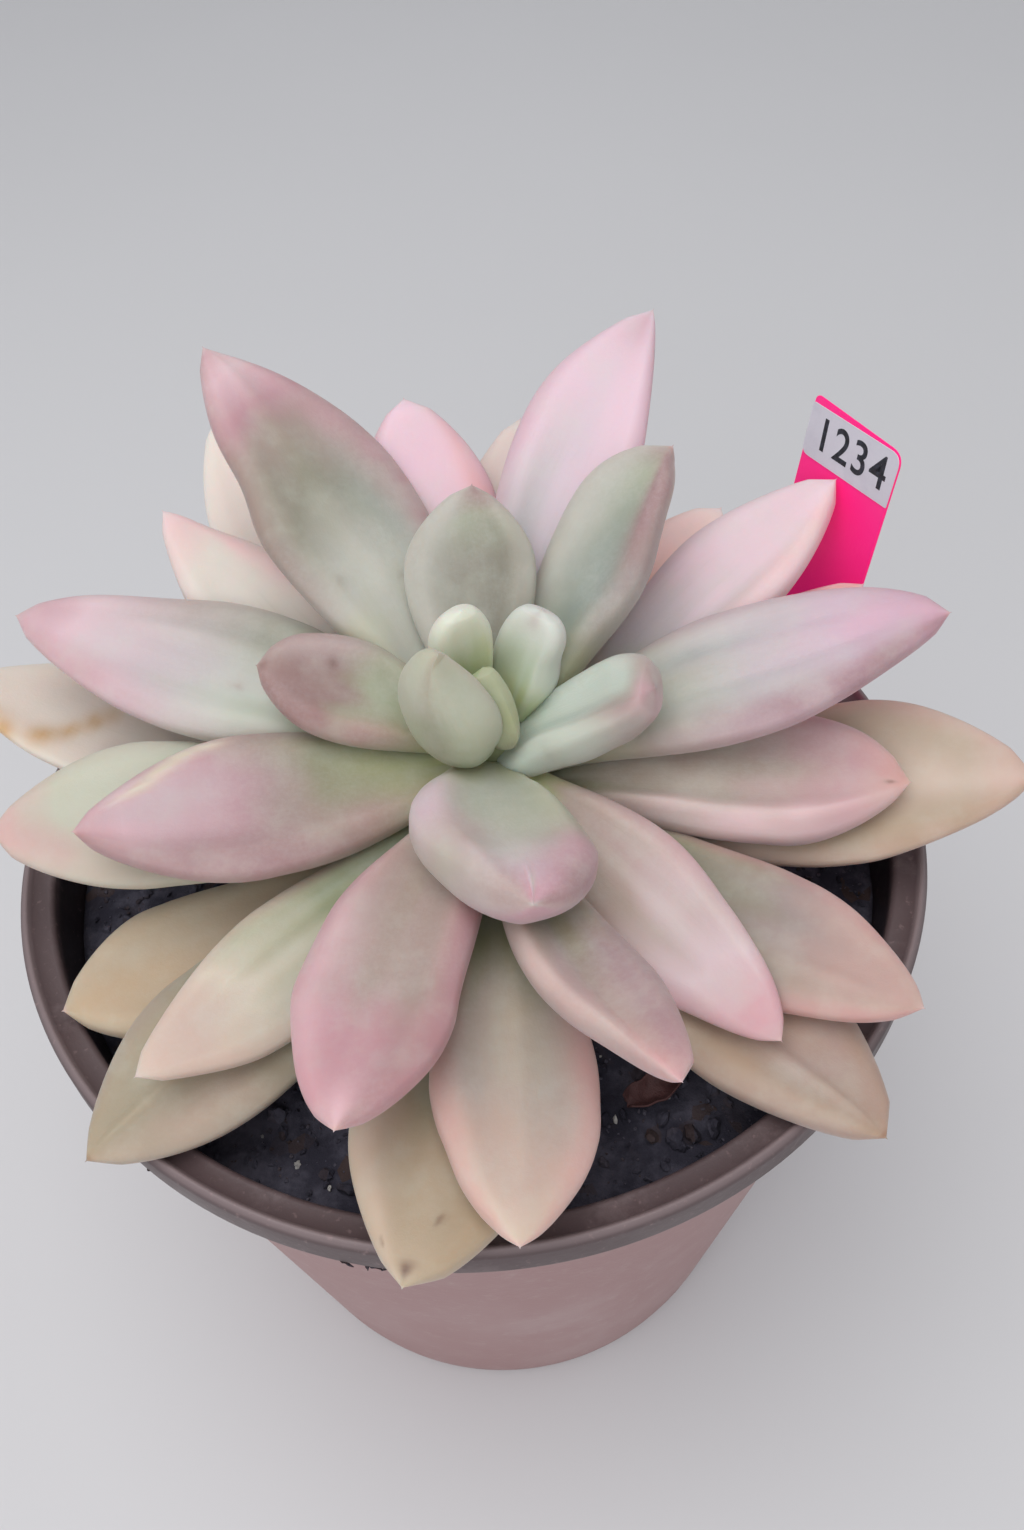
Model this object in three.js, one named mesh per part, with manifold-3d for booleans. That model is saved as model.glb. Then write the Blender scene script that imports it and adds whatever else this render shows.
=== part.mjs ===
// A potted rosette succulent: fleshy leaves on a short stem, dark soil, a plastic nursery pot and a label.
// Millimetres, +Z up. The origin is the middle of the pot's base. The front of the plant faces -Y.
import * as THREE from "three";
import { mergeVertices } from "three/addons/utils/BufferGeometryUtils.js";
import Module from "manifold-3d";

const wasm = await Module();
wasm.setup();

// Pot, one moulding.
const RIM_RADIUS = 70;
const POT_HEIGHT = 120;
const BASE_RADIUS = 49.5;
const WALL = 1.6;
const FLOOR = 2.5;
const LIP_HEIGHT = 6; // how far the rolled rim turns down
const LIP_OVERHANG = 3.5; // how far the rim stands out from the wall below it
const CREST_WIDTH = 1.9; // raised line round the outer edge of the rim
const LEDGE_DROP = 1; // the rest of the rim's top lies this far below the crest
const EDGE = 1; // softened edge of the base and of the rim
const DRAIN_HOLES = 6;
const DRAIN_RADIUS = 4;
const DRAIN_RING = 34; // the drain holes stand on this radius

// Soil and stem.
const SOIL_DEPTH_BELOW_RIM = 12; // at the pot's wall
const SOIL_MOUND = 2; // how much higher the soil stands round the stem
const GAP = 0.3; // clearance between pieces that touch on the real plant
const PLANT_X = 4; // the stem stands a little to the right of the pot's middle
const STEM_FOOT = -32; // lower end of the stem, measured from the rim
const STEM_TOP = 20.8; // upper end of the stem, measured from the rim
const STEM_TIP_RADIUS = 1.4;
// [height measured from the rim, radius]
const STEM_PROFILE = [
  [-12, 6],
  [0, 5.4],
  [10, 4.6],
  [18, 3.2],
  [20, 2.6],
];

// Plant label and the sticker on its face.
const LABEL = { width: 20, above: 57.5, below: 45, thick: 0.7, corner: 2.5, shoulder: 12, point: 2 };
const LABEL_FOOT = [54.2, 26.2]; // where the label enters the soil
const LABEL_TURN = -65; // degrees, the direction of its width
const LABEL_LEAN = 9.4; // degrees, away from the plant
const LABEL_TIP_SIDEWAYS = 2.6; // degrees, within its own plane
const STICKER = { width: 19, height: 8.6, thick: 0.3, below_top: 4.9, gap: 0.1 };

// Dry curled leaf scrap on the soil.
const SCRAP = { long: 11, wide: 5, thick: 0.8, bow: 1.2, spot: [24.5, -46, 110.4], turn: 25 };

// Leaves, from the bud outward. Lengths in millimetres, angles in degrees:
// at      compass direction of the root, anticlockwise from +X
// up      height of the root measured from the rim
// rise    how steeply the leaf leaves the stem
// curl    how much it bends upward on its way to the tip
// bend    how much it swings sideways on its way to the tip
// roll    how far it is turned about its own length
// long    root to tip along the midrib
// wide    greatest width
// thick   greatest thickness
// belly   where it is widest, as a share of the length
// neck    width at the root, as a share of the greatest width
// point   how blunt the tip is, larger is blunter
// cup     how deep the upper face is hollowed, as a share of the half width
const BUD = { thick: 6.5, point: 2.4, neck: 0.45, cup: 0.1 };
const YOUNG = { thick: 6.5, point: 2.4, neck: 0.36, cup: 0.15 };
const MID = { thick: 5.6, point: 1.8, neck: 0.3, cup: 0.1 };
const LOW = { thick: 5, point: 1.8, neck: 0.3, cup: 0.1 };
const OLD = { thick: 4.6, point: 1.8, neck: 0.28, cup: 0.1 };
const LEAVES = [
  {
    name: "bud_leaf_inner", kind: BUD, color: "#a9b596",
    at: 302, up: 18.2, rise: 102, curl: 6, bend: 1, roll: -1, long: 14.5, wide: 4.5, belly: 0.6,
    thick: 5.5, neck: 0.5,
  },
  {
    name: "bud_leaf_back", kind: BUD, color: "#aab89a",
    at: 125, up: 19, rise: 82, curl: 19, bend: 0, roll: -6, long: 21, wide: 9, belly: 0.6,
    point: 2.6,
  },
  {
    name: "bud_leaf_front", kind: BUD, color: "#b9bda9",
    at: 224, up: 17.5, rise: 83, curl: 1, bend: 2, roll: 6, long: 23, wide: 16, belly: 0.5,
    thick: 9, point: 2, neck: 0.5,
  },
  {
    name: "bud_leaf_right", kind: BUD, color: "#b4c2ac",
    at: 41, up: 18.5, rise: 64, curl: 5, bend: -1, roll: 11, long: 17, wide: 11, belly: 0.6,
    thick: 7.5, point: 2.6,
  },
  {
    name: "young_leaf_right", kind: YOUNG, color: "#b9bfb0",
    at: 349, up: 16, rise: 35, curl: 5, bend: -1, roll: -3, long: 24, wide: 17.5, belly: 0.65,
    thick: 7.5, point: 2.6, cup: 0.22,
  },
  {
    name: "young_leaf_back", kind: YOUNG, color: "#a3ad97",
    at: 95, up: 15.5, rise: 43, curl: 6, bend: -11, roll: -9, long: 35, wide: 19, belly: 0.65,
    point: 2,
  },
  {
    name: "young_leaf_left", kind: YOUNG, color: "#b0a49c",
    at: 166, up: 15.5, rise: 33, curl: -14, bend: 10, roll: -20, long: 32, wide: 16.5, belly: 0.6,
    cup: 0.1,
  },
  {
    name: "young_leaf_front", kind: YOUNG, color: "#bdb0ac",
    at: 271, up: 14, rise: 20, curl: 5, bend: 14, roll: -12, long: 38, wide: 25, belly: 0.55,
    thick: 8, point: 2.8, cup: 0.14,
  },
  {
    name: "young_leaf_back_right", kind: YOUNG, color: "#a9b3a3",
    at: 51, up: 13, rise: 41, curl: -6, bend: -9, roll: -11, long: 49, wide: 19, belly: 0.7,
    point: 2.5, cup: 0.18,
  },
  {
    name: "mid_leaf_left_front", kind: MID, color: "#b79da4",
    at: 200, up: 12, rise: 8, curl: 8, bend: -6, roll: -7, long: 56, wide: 25, belly: 0.6,
  },
  {
    name: "mid_leaf_front_right", kind: MID, color: "#c9a8ab",
    at: 312, up: 11.5, rise: -4, curl: 2, bend: -12, roll: 22, long: 55, wide: 20, belly: 0.65,
  },
  {
    name: "mid_leaf_back_left", kind: MID, color: "#b3a79f",
    at: 121, up: 11.5, rise: 35, curl: -4, bend: 13, roll: 4, long: 73, wide: 26, belly: 0.6,
  },
  {
    name: "mid_leaf_front_left", kind: MID, color: "#c9a5a4",
    at: 247, up: 9.5, rise: 10, curl: 4, bend: 13, roll: 3, long: 63, wide: 22.5, belly: 0.7,
  },
  {
    name: "mid_leaf_right", kind: MID, color: "#c2bdbd",
    at: 9, up: 10, rise: 25, curl: -7, bend: -14, roll: 6, long: 65, wide: 25, belly: 0.55,
  },
  {
    name: "mid_leaf_left", kind: MID, color: "#bdb0b6",
    at: 158, up: 8, rise: 22, curl: -17, bend: 9, roll: -9, long: 73, wide: 25, belly: 0.6,
  },
  {
    name: "low_leaf_front_narrow", kind: MID, color: "#c4aaa0",
    at: 278, up: 7, rise: 11, curl: 17, bend: 19, roll: 0, long: 65, wide: 13.5, belly: 0.65,
  },
  {
    name: "mid_leaf_back_right", kind: MID, color: "#cdb6bd",
    at: 73, up: 8, rise: 38, curl: -10, bend: -20, roll: 9, long: 74, wide: 22, belly: 0.6,
  },
  {
    name: "low_leaf_left_front", kind: LOW, color: "#bba79a",
    at: 229, up: 6.5, rise: 0, curl: 10, bend: -6, roll: -13, long: 63, wide: 18, belly: 0.6,
  },
  {
    name: "low_leaf_right", kind: MID, color: "#c1a39f",
    at: 350, up: 6.5, rise: 10, curl: -3, bend: -3, roll: 11, long: 56, wide: 21.5, belly: 0.7,
  },
  {
    name: "low_leaf_back", kind: MID, color: "#dcb6b8",
    at: 102, up: 5, rise: 33, curl: 5, bend: -2, roll: 3, long: 61, wide: 22.5, belly: 0.65,
  },
  {
    name: "low_leaf_front", kind: LOW, color: "#bfa692",
    at: 270, up: 3.5, rise: 2, curl: 11, bend: 1, roll: -12, long: 69, wide: 21, belly: 0.8,
    point: 1.9,
  },
  {
    name: "low_leaf_right_back", kind: MID, color: "#d2b4b2",
    at: 32, up: 3.5, rise: 23, curl: 12, bend: -6, roll: -5, long: 66, wide: 20.5, belly: 0.65,
  },
  {
    name: "low_leaf_left", kind: LOW, color: "#c4b2a4",
    at: 188, up: 3.5, rise: 13, curl: -3, bend: 3, roll: -13, long: 68, wide: 24.5, belly: 0.7,
  },
  {
    name: "low_leaf_right_front", kind: LOW, color: "#bca496",
    at: 322, up: 2, rise: 6, curl: 3, bend: -6, roll: 11, long: 66, wide: 22.5, belly: 0.7,
  },
  {
    name: "low_leaf_back_inner", kind: LOW, color: "#cbb6a0",
    at: 82, up: 1.5, rise: 26, curl: 7, bend: 0, roll: -1, long: 61, wide: 22, belly: 0.6,
  },
  {
    name: "old_leaf_left_front", kind: OLD, color: "#a8977b",
    at: 227, up: 0, rise: 7, curl: -10, bend: -3, roll: -8, long: 73, wide: 24.5, belly: 0.7,
  },
  {
    name: "old_leaf_right", kind: OLD, color: "#c0a88c",
    at: 353, up: 0, rise: 11, curl: 0, bend: -4, roll: 18, long: 74, wide: 26, belly: 0.7,
  },
  {
    name: "low_leaf_left_back", kind: LOW, color: "#d8bcae",
    at: 141, up: -0.5, rise: 19, curl: 20, bend: 0, roll: -13, long: 66, wide: 21, belly: 0.6,
  },
  {
    name: "low_leaf_back_right", kind: LOW, color: "#d6b2aa",
    at: 53, up: -1.5, rise: 17, curl: 3, bend: -6, roll: 4, long: 61, wide: 20, belly: 0.65,
  },
  {
    name: "old_leaf_left_low", kind: OLD, color: "#a1937a",
    at: 212, up: -2.5, rise: 3, curl: 1, bend: -10, roll: -3, long: 65, wide: 22, belly: 0.75,
  },
  {
    name: "low_leaf_back_left", kind: LOW, color: "#ddd0c2",
    at: 123, up: -3.5, rise: 19, curl: 5, bend: -1, roll: -7, long: 84, wide: 24.5, belly: 0.65,
    point: 1.9,
  },
  {
    name: "old_leaf_front", kind: OLD, color: "#b09a6e",
    at: 265, up: -4, rise: 10, curl: -2, bend: -12, roll: 0, long: 72, wide: 25, belly: 0.7,
  },
  {
    name: "old_leaf_right_back", kind: OLD, color: "#e0a8a4",
    at: 20, up: -4.5, rise: 26, curl: 2, bend: -2, roll: 14, long: 62, wide: 15, belly: 0.65,
  },
  {
    name: "old_leaf_left", kind: OLD, color: "#bea98c",
    at: 166, up: -5.5, rise: 16, curl: -6, bend: -1, roll: 9, long: 85, wide: 24, belly: 0.7,
  },
  {
    name: "old_leaf_right_front", kind: OLD, color: "#b09a80",
    at: 310, up: -6, rise: 14, curl: -15, bend: -3, roll: -3, long: 70, wide: 23.5, belly: 0.65,
  },
];

// How a leaf's skin is drawn.
const MIDRIB_STEPS = 24;
const RINGS_AT = [0, 2, 4, 6, 9, 12, 15, 17, 19, 21, 22, 23]; // closer together toward the tip
const RING_POINTS = 10;
const SHARE_ABOVE = 0.4; // share of the thickness above the midrib
const THICKEST_FROM = 0.45; // share of the length where the full thickness is reached
const LEVEL_HOLLOW = 0.35; // keeps a hollowed leaf's middle and its edges equally far from the midrib's line
const ROOT_CLEARANCE = 0.35; // between a level leaf's root and the stem

const radians = THREE.MathUtils.degToRad;
const FULL_TURN = 2 * Math.PI;

function matte(color) {
  return new THREE.MeshStandardMaterial({ color, roughness: 0.7, metalness: 0 });
}

// Straight-line interpolation in a list of [x, value] rows.
function along(rows, x) {
  const last = rows.length - 1;
  let i = 1;
  while (i < last && x > rows[i][0]) {
    i += 1;
  }
  const [x0, value0] = rows[i - 1];
  const [x1, value1] = rows[i];
  const t = THREE.MathUtils.clamp((x - x0) / (x1 - x0), 0, 1);
  return value0 + (value1 - value0) * t;
}

function solidFrom(geometry) {
  const bare = geometry.clone();
  bare.deleteAttribute("normal");
  bare.deleteAttribute("uv");
  const merged = mergeVertices(bare, 1e-4);
  const mesh = new wasm.Mesh({
    numProp: 3,
    vertProperties: merged.attributes.position.array,
    triVerts: new Uint32Array(merged.index.array),
  });
  return new wasm.Manifold(mesh);
}

function geometryFrom(solid) {
  const mesh = solid.getMesh();
  const geometry = new THREE.BufferGeometry();
  geometry.setAttribute("position", new THREE.BufferAttribute(mesh.vertProperties, 3));
  geometry.setIndex(new THREE.BufferAttribute(mesh.triVerts, 1));
  geometry.computeVertexNormals();
  return geometry;
}

// A solid of revolution about +Z from [radius, height] points that start and end on the axis.
function turned(points, segments) {
  const outline = points.map(([radius, height]) => new THREE.Vector2(radius, height));
  return new THREE.LatheGeometry(outline, segments).rotateX(Math.PI / 2);
}

// Outside of the pot's wall at a height above the table.
function wallRadius(height) {
  const top = RIM_RADIUS - LIP_OVERHANG;
  return BASE_RADIUS + ((top - BASE_RADIUS) * height) / (POT_HEIGHT - LIP_HEIGHT);
}

function potGeometry() {
  const lipFoot = POT_HEIGHT - LIP_HEIGHT;
  const ledge = POT_HEIGHT - LEDGE_DROP;
  const inside = (height) => wallRadius(height) - WALL;
  const crestInside = RIM_RADIUS - CREST_WIDTH;
  const outline = [
    [0, 0],
    [BASE_RADIUS - EDGE, 0],
    [wallRadius(EDGE), EDGE],
    [wallRadius(lipFoot), lipFoot],
    [RIM_RADIUS - EDGE, lipFoot],
    [RIM_RADIUS, lipFoot + EDGE],
    [RIM_RADIUS, POT_HEIGHT - EDGE],
    [RIM_RADIUS - 0.3 * EDGE, POT_HEIGHT - 0.3 * EDGE],
    [RIM_RADIUS - CREST_WIDTH / 2, POT_HEIGHT],
    [crestInside, ledge],
    [inside(lipFoot) + EDGE, ledge],
    [inside(lipFoot), lipFoot],
    [inside(FLOOR), FLOOR],
    [0, FLOOR],
  ];
  let pot = solidFrom(turned(outline, 80));
  for (let i = 0; i < DRAIN_HOLES; i++) {
    const angle = (i / DRAIN_HOLES) * FULL_TURN;
    const hole = new THREE.CylinderGeometry(DRAIN_RADIUS, DRAIN_RADIUS, 3 * FLOOR, 20);
    hole.rotateX(Math.PI / 2);
    hole.translate(DRAIN_RING * Math.cos(angle), DRAIN_RING * Math.sin(angle), FLOOR / 2);
    pot = pot.subtract(solidFrom(hole));
  }
  return geometryFrom(pot);
}

// The stem, or with grow above zero the room that it needs in the soil.
function stemGeometry(grow) {
  const foot = POT_HEIGHT + STEM_FOOT - grow;
  const sides = STEM_PROFILE.map(([height, radius]) => [radius + grow, POT_HEIGHT + height]);
  const top = POT_HEIGHT + STEM_TOP + grow;
  const footRadius = STEM_PROFILE[0][1] + grow;
  return turned([[0, foot], [footRadius, foot], ...sides, [STEM_TIP_RADIUS, top - GAP], [0, top]], 24);
}

// The label stands in its own frame: +X across, +Y up, face +Z, origin where it enters the soil.
// It has rounded top corners and tapers to a point below its shoulders.
function labelGeometry(grow) {
  const half = LABEL.width / 2 + grow;
  const point = LABEL.point / 2 + grow;
  const top = LABEL.above + grow;
  const foot = -LABEL.below - grow;
  const corner = LABEL.corner;
  const shape = new THREE.Shape();
  shape.moveTo(-point, foot);
  shape.lineTo(point, foot);
  shape.lineTo(half, -LABEL.shoulder);
  shape.lineTo(half, top - corner);
  shape.absarc(half - corner, top - corner, corner, 0, Math.PI / 2);
  shape.lineTo(corner - half, top);
  shape.absarc(corner - half, top - corner, corner, Math.PI / 2, Math.PI);
  shape.lineTo(-half, -LABEL.shoulder);
  const depth = LABEL.thick + 2 * grow;
  const geometry = new THREE.ExtrudeGeometry(shape, { depth, bevelEnabled: false, curveSegments: 6 });
  return geometry.translate(0, 0, -depth / 2);
}

function soilGeometry(labelMatrix) {
  const foot = FLOOR + GAP;
  const edge = POT_HEIGHT - SOIL_DEPTH_BELOW_RIM;
  const reach = (height) => wallRadius(height) - WALL - GAP;
  const crown = reach(edge);
  const outline = [
    [0, foot],
    [reach(foot), foot],
    [crown, edge],
    [0.8 * crown, edge + 0.25 * SOIL_MOUND],
    [0.5 * crown, edge + 0.75 * SOIL_MOUND],
    [0, edge + SOIL_MOUND],
  ];
  const stemHole = solidFrom(stemGeometry(GAP).translate(PLANT_X, 0, 0));
  const labelSlot = solidFrom(labelGeometry(GAP).applyMatrix4(labelMatrix));
  return geometryFrom(solidFrom(turned(outline, 64)).subtract(stemHole).subtract(labelSlot));
}

// Share of a leaf's full width at t from root (0) to tip (1).
function bladeWidth(leaf, t) {
  if (t < leaf.belly) {
    return leaf.neck + (1 - leaf.neck) * Math.sin((Math.PI / 2) * (t / leaf.belly)) ** 1.3;
  }
  return 1 - ((t - leaf.belly) / (1 - leaf.belly)) ** leaf.point;
}

// Share of a leaf's full thickness at t: half at the root, full from THICKEST_FROM on, thin at the tip.
function bladeThickness(t) {
  const rootward = 0.5 + 0.5 * Math.sin((Math.PI / 2) * Math.min(t / THICKEST_FROM, 1));
  return rootward * (1 - t ** 3) ** 0.7;
}

// Direction of the midrib at t from root to tip.
function leafHeading(leaf, t) {
  const lift = radians(leaf.rise + leaf.curl * t);
  const turn = radians(leaf.at + leaf.bend * t);
  return new THREE.Vector3(Math.cos(lift) * Math.cos(turn), Math.cos(lift) * Math.sin(turn), Math.sin(lift));
}

// The leaf's root stands just off the stem, further off for a thick leaf that rises steeply.
function leafRoot(leaf) {
  const rootHalfThick = leaf.thick / 4;
  const clearance = ROOT_CLEARANCE + 0.8 * rootHalfThick * Math.abs(Math.sin(radians(leaf.rise)));
  const reach = along(STEM_PROFILE, leaf.up) + clearance;
  const at = radians(leaf.at);
  return new THREE.Vector3(PLANT_X + reach * Math.cos(at), reach * Math.sin(at), POT_HEIGHT + leaf.up);
}

// One ring of points round the leaf: flatter above than below, and slightly hollowed on top.
function leafRing(leaf, t, spot) {
  const forward = leafHeading(leaf, t);
  const turn = radians(leaf.at + leaf.bend * t);
  const side = new THREE.Vector3(-Math.sin(turn), Math.cos(turn), 0);
  const normal = new THREE.Vector3().crossVectors(forward, side);
  side.applyAxisAngle(forward, radians(leaf.roll));
  normal.applyAxisAngle(forward, radians(leaf.roll));
  const half = (leaf.wide / 2) * bladeWidth(leaf, t);
  const thick = leaf.thick * bladeThickness(t);
  const ring = [];
  for (let j = 0; j < RING_POINTS; j++) {
    const angle = (j / RING_POINTS) * FULL_TURN;
    const across = Math.cos(angle);
    const share = Math.sin(angle) > 0 ? SHARE_ABOVE : 1 - SHARE_ABOVE;
    const height = leaf.cup * half * (across ** 2 - LEVEL_HOLLOW) + thick * share * Math.sin(angle);
    ring.push(spot.clone().addScaledVector(side, across * half).addScaledVector(normal, height));
  }
  return ring;
}

// A leaf starts at the stem, follows its midrib outward and upward, and closes in a point.
function leafGeometry(leaf) {
  const spot = leafRoot(leaf);
  const rings = [];
  for (let i = 0; i < MIDRIB_STEPS; i++) {
    const t = i / MIDRIB_STEPS;
    if (RINGS_AT.includes(i)) {
      rings.push(leafRing(leaf, t, spot));
    }
    const step = leafHeading(leaf, t).add(leafHeading(leaf, t + 1 / MIDRIB_STEPS));
    spot.addScaledVector(step, leaf.long / MIDRIB_STEPS / 2);
  }
  return closedSkin(rings, spot);
}

// Rings of points joined into one closed skin, with a flat root and a pointed tip.
function closedSkin(rings, tip) {
  const points = rings.flat();
  const middle = new THREE.Vector3();
  for (const point of rings[0]) {
    middle.addScaledVector(point, 1 / RING_POINTS);
  }
  const root = points.length;
  points.push(middle, tip);
  const lastRing = root - RING_POINTS;
  const faces = [];
  for (let j = 0; j < RING_POINTS; j++) {
    const next = (j + 1) % RING_POINTS;
    faces.push(root, next, j);
    faces.push(lastRing + j, lastRing + next, root + 1);
    for (let ring = 0; ring < lastRing; ring += RING_POINTS) {
      const a = ring + j;
      const b = ring + next;
      faces.push(a, b, b + RING_POINTS);
      faces.push(a, b + RING_POINTS, a + RING_POINTS);
    }
  }
  const geometry = new THREE.BufferGeometry().setFromPoints(points);
  geometry.setIndex(faces);
  geometry.computeVertexNormals();
  return geometry;
}

// A thin bent strip.
function scrapGeometry() {
  const { long, wide, thick, bow } = SCRAP;
  const shape = new THREE.Shape();
  shape.moveTo(-long / 2, 0);
  shape.quadraticCurveTo(0, 2 * bow, long / 2, 0);
  shape.lineTo(long / 2, thick);
  shape.quadraticCurveTo(0, 2 * bow + thick, -long / 2, thick);
  const geometry = new THREE.ExtrudeGeometry(shape, { depth: wide, bevelEnabled: false, curveSegments: 6 });
  return geometry.translate(0, 0, -wide / 2).rotateX(Math.PI / 2);
}

const plant = new THREE.Group();

function add(parent, name, geometry, color) {
  const mesh = new THREE.Mesh(geometry, matte(color));
  mesh.name = name;
  parent.add(mesh);
  return mesh;
}

add(plant, "pot", potGeometry(), "#a58c88");
add(plant, "stem", stemGeometry(0), "#8a8068").position.x = PLANT_X;

// Three nested frames carry the label: its compass direction, its lean, and its tilt within its own plane.
const labelTurn = new THREE.Group();
labelTurn.position.set(...LABEL_FOOT, POT_HEIGHT - SOIL_DEPTH_BELOW_RIM);
labelTurn.rotation.z = radians(LABEL_TURN);
const labelLean = new THREE.Group();
labelLean.rotation.x = radians(90 - LABEL_LEAN);
const labelTip = new THREE.Group();
labelTip.rotation.z = radians(LABEL_TIP_SIDEWAYS);
plant.add(labelTurn);
labelTurn.add(labelLean);
labelLean.add(labelTip);
add(labelTip, "label", labelGeometry(0), "#e8286f");

const stickerGeometry = new THREE.BoxGeometry(STICKER.width, STICKER.height, STICKER.thick);
const sticker = add(labelTip, "label_sticker", stickerGeometry, "#c9c4d2");
sticker.position.y = LABEL.above - STICKER.below_top;
sticker.position.z = (LABEL.thick + STICKER.thick) / 2 + STICKER.gap;

plant.updateMatrixWorld(true);
add(plant, "soil", soilGeometry(labelTip.matrixWorld), "#2b2628");

const scrap = add(plant, "dry_leaf_scrap", scrapGeometry(), "#6e3f34");
scrap.position.set(...SCRAP.spot);
scrap.rotation.z = radians(SCRAP.turn);

for (const row of LEAVES) {
  const leaf = { ...row.kind, ...row };
  add(plant, leaf.name, leafGeometry(leaf), leaf.color);
}

export default plant;
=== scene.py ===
import bmesh
import bpy
import math
import numpy as np
from mathutils import Matrix, Vector, noise


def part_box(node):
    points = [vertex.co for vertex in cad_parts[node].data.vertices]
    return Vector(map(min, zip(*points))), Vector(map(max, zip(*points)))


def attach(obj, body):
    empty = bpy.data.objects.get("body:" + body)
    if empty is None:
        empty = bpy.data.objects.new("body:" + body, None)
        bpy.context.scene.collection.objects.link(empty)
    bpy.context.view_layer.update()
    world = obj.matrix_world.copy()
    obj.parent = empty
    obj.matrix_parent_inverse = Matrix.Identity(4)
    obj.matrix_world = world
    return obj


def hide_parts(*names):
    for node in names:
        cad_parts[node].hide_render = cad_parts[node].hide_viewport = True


# A rosette succulent in a plastic nursery pot, with its plant label. Metres, +Z up.
# The origin is the middle of the pot's base, and the front of the plant faces -Y.
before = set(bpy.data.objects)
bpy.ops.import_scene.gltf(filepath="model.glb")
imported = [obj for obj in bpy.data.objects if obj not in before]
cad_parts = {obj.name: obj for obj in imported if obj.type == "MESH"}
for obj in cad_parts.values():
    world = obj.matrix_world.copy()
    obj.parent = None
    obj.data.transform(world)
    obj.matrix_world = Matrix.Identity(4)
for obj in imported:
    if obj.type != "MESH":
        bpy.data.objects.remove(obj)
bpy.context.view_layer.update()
scene = bpy.context.scene
MM = 0.001


# The view. The picture was taken from in front of the pot and above it, looking down at about
# fifty degrees, with the camera rolled a little and close enough for strong perspective.
CAMERA_SPOT = Vector((6.97, -128.5, 279.5)) * MM
LOOKS_DOWN = math.radians(49.25)
ROLLED = math.radians(3.75)
LENS = 30.6
SENSOR = 36.0

camera = bpy.data.objects.new("camera", bpy.data.cameras.new("camera"))
scene.collection.objects.link(camera)
camera.data.sensor_fit = "AUTO"
camera.data.sensor_width = SENSOR
camera.data.lens = LENS
camera.data.clip_start = 0.01
turned_down = Matrix.Rotation(math.pi / 2 - LOOKS_DOWN, 4, "X")
camera.matrix_world = Matrix.Translation(CAMERA_SPOT) @ turned_down @ Matrix.Rotation(-ROLLED, 4, "Z")
scene.camera = camera
scene.view_settings.view_transform = "Standard"
scene.view_settings.look = "None"


# The studio: a pale matt floor that curves up behind, a broad soft lamp above
# the plant, a fill lamp behind the camera, and an even pale sky.
FLOOR_COLOUR = (0.66, 0.66, 0.67, 1)
FLOOR_DEEP = 3.0
FLOOR_WIDE = 10.0
FLOOR_BEND = 0.5
FLOOR_BEND_STEPS = 12
FLOOR_CLOUDING = 1.06
LAMPS_AIM = Vector((0, 0, 0.1))
LAMPS = [
    # name, place in metres, width in metres, power in watts, colour
    ("lamp_above", (-0.15, -0.10, 1.00), 0.8, 4.0, (1.0, 0.99, 0.98)),
    ("lamp_front", (-0.30, -0.80, 0.70), 0.8, 2.2, (0.98, 0.98, 1.0)),
]
SKY_COLOUR = (0.95, 0.96, 1.0, 1)
SKY_STRENGTH = 0.56


def mesh_piece(name, vertices, faces, smooth=True):
    """A new mesh object made from vertices in metres."""
    mesh = bpy.data.meshes.new(name)
    mesh.from_pydata([tuple(v) for v in vertices], [], faces)
    mesh.polygons.foreach_set("use_smooth", [smooth] * len(mesh.polygons))
    mesh.update()
    piece = bpy.data.objects.new(name, mesh)
    scene.collection.objects.link(piece)
    return piece


def new_finish(name, roughness):
    """A material with one Principled shader. Returns the material, its node tree and the shader."""
    material = bpy.data.materials.new(name)
    material.use_nodes = True
    tree = material.node_tree
    shader = tree.nodes["Principled BSDF"]
    shader.inputs["Roughness"].default_value = roughness
    return material, tree, shader


def put(tree, kind, inputs, **settings):
    """Adds a node. inputs maps a socket's name or number to a value or to another node's output."""
    node = tree.nodes.new(kind)
    for key, value in settings.items():
        setattr(node, key, value)
    for key, value in inputs.items():
        if isinstance(value, bpy.types.NodeSocket):
            tree.links.new(value, node.inputs[key])
        else:
            node.inputs[key].default_value = value
    return node


def cloudy(tree, where, scale, detail=3.0, rough=0.55):
    """Soft noise from 0 to 1. where is a coordinate socket in metres."""
    inputs = {"Vector": where, "Scale": scale, "Detail": detail, "Roughness": rough}
    return put(tree, "ShaderNodeTexNoise", inputs).outputs["Fac"]


def tint(tree, share, under, over, kind="MIX"):
    """over laid on under by share. Either may be a colour or a socket."""
    inputs = {0: share, 6: under, 7: over}
    return put(tree, "ShaderNodeMix", inputs, data_type="RGBA", blend_type=kind).outputs[2]


def places(tree):
    """The surface's own coordinates, in metres."""
    return put(tree, "ShaderNodeTexCoord", {}).outputs["Object"]


def floor_sheet():
    """A floor that bends up into a back wall."""
    half = FLOOR_DEEP / 2
    profile = [(-half, 0.0)]
    for i in range(FLOOR_BEND_STEPS + 1):
        angle = math.pi / 2 * i / FLOOR_BEND_STEPS
        profile.append((half - FLOOR_BEND * (1 - math.sin(angle)), FLOOR_BEND * (1 - math.cos(angle))))
    profile.append((half, half))
    vertices = [(x, y, z) for y, z in profile for x in (-FLOOR_WIDE / 2, FLOOR_WIDE / 2)]
    faces = [(2 * i, 2 * i + 1, 2 * i + 3, 2 * i + 2) for i in range(len(profile) - 1)]
    return mesh_piece("floor", vertices, faces)


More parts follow.
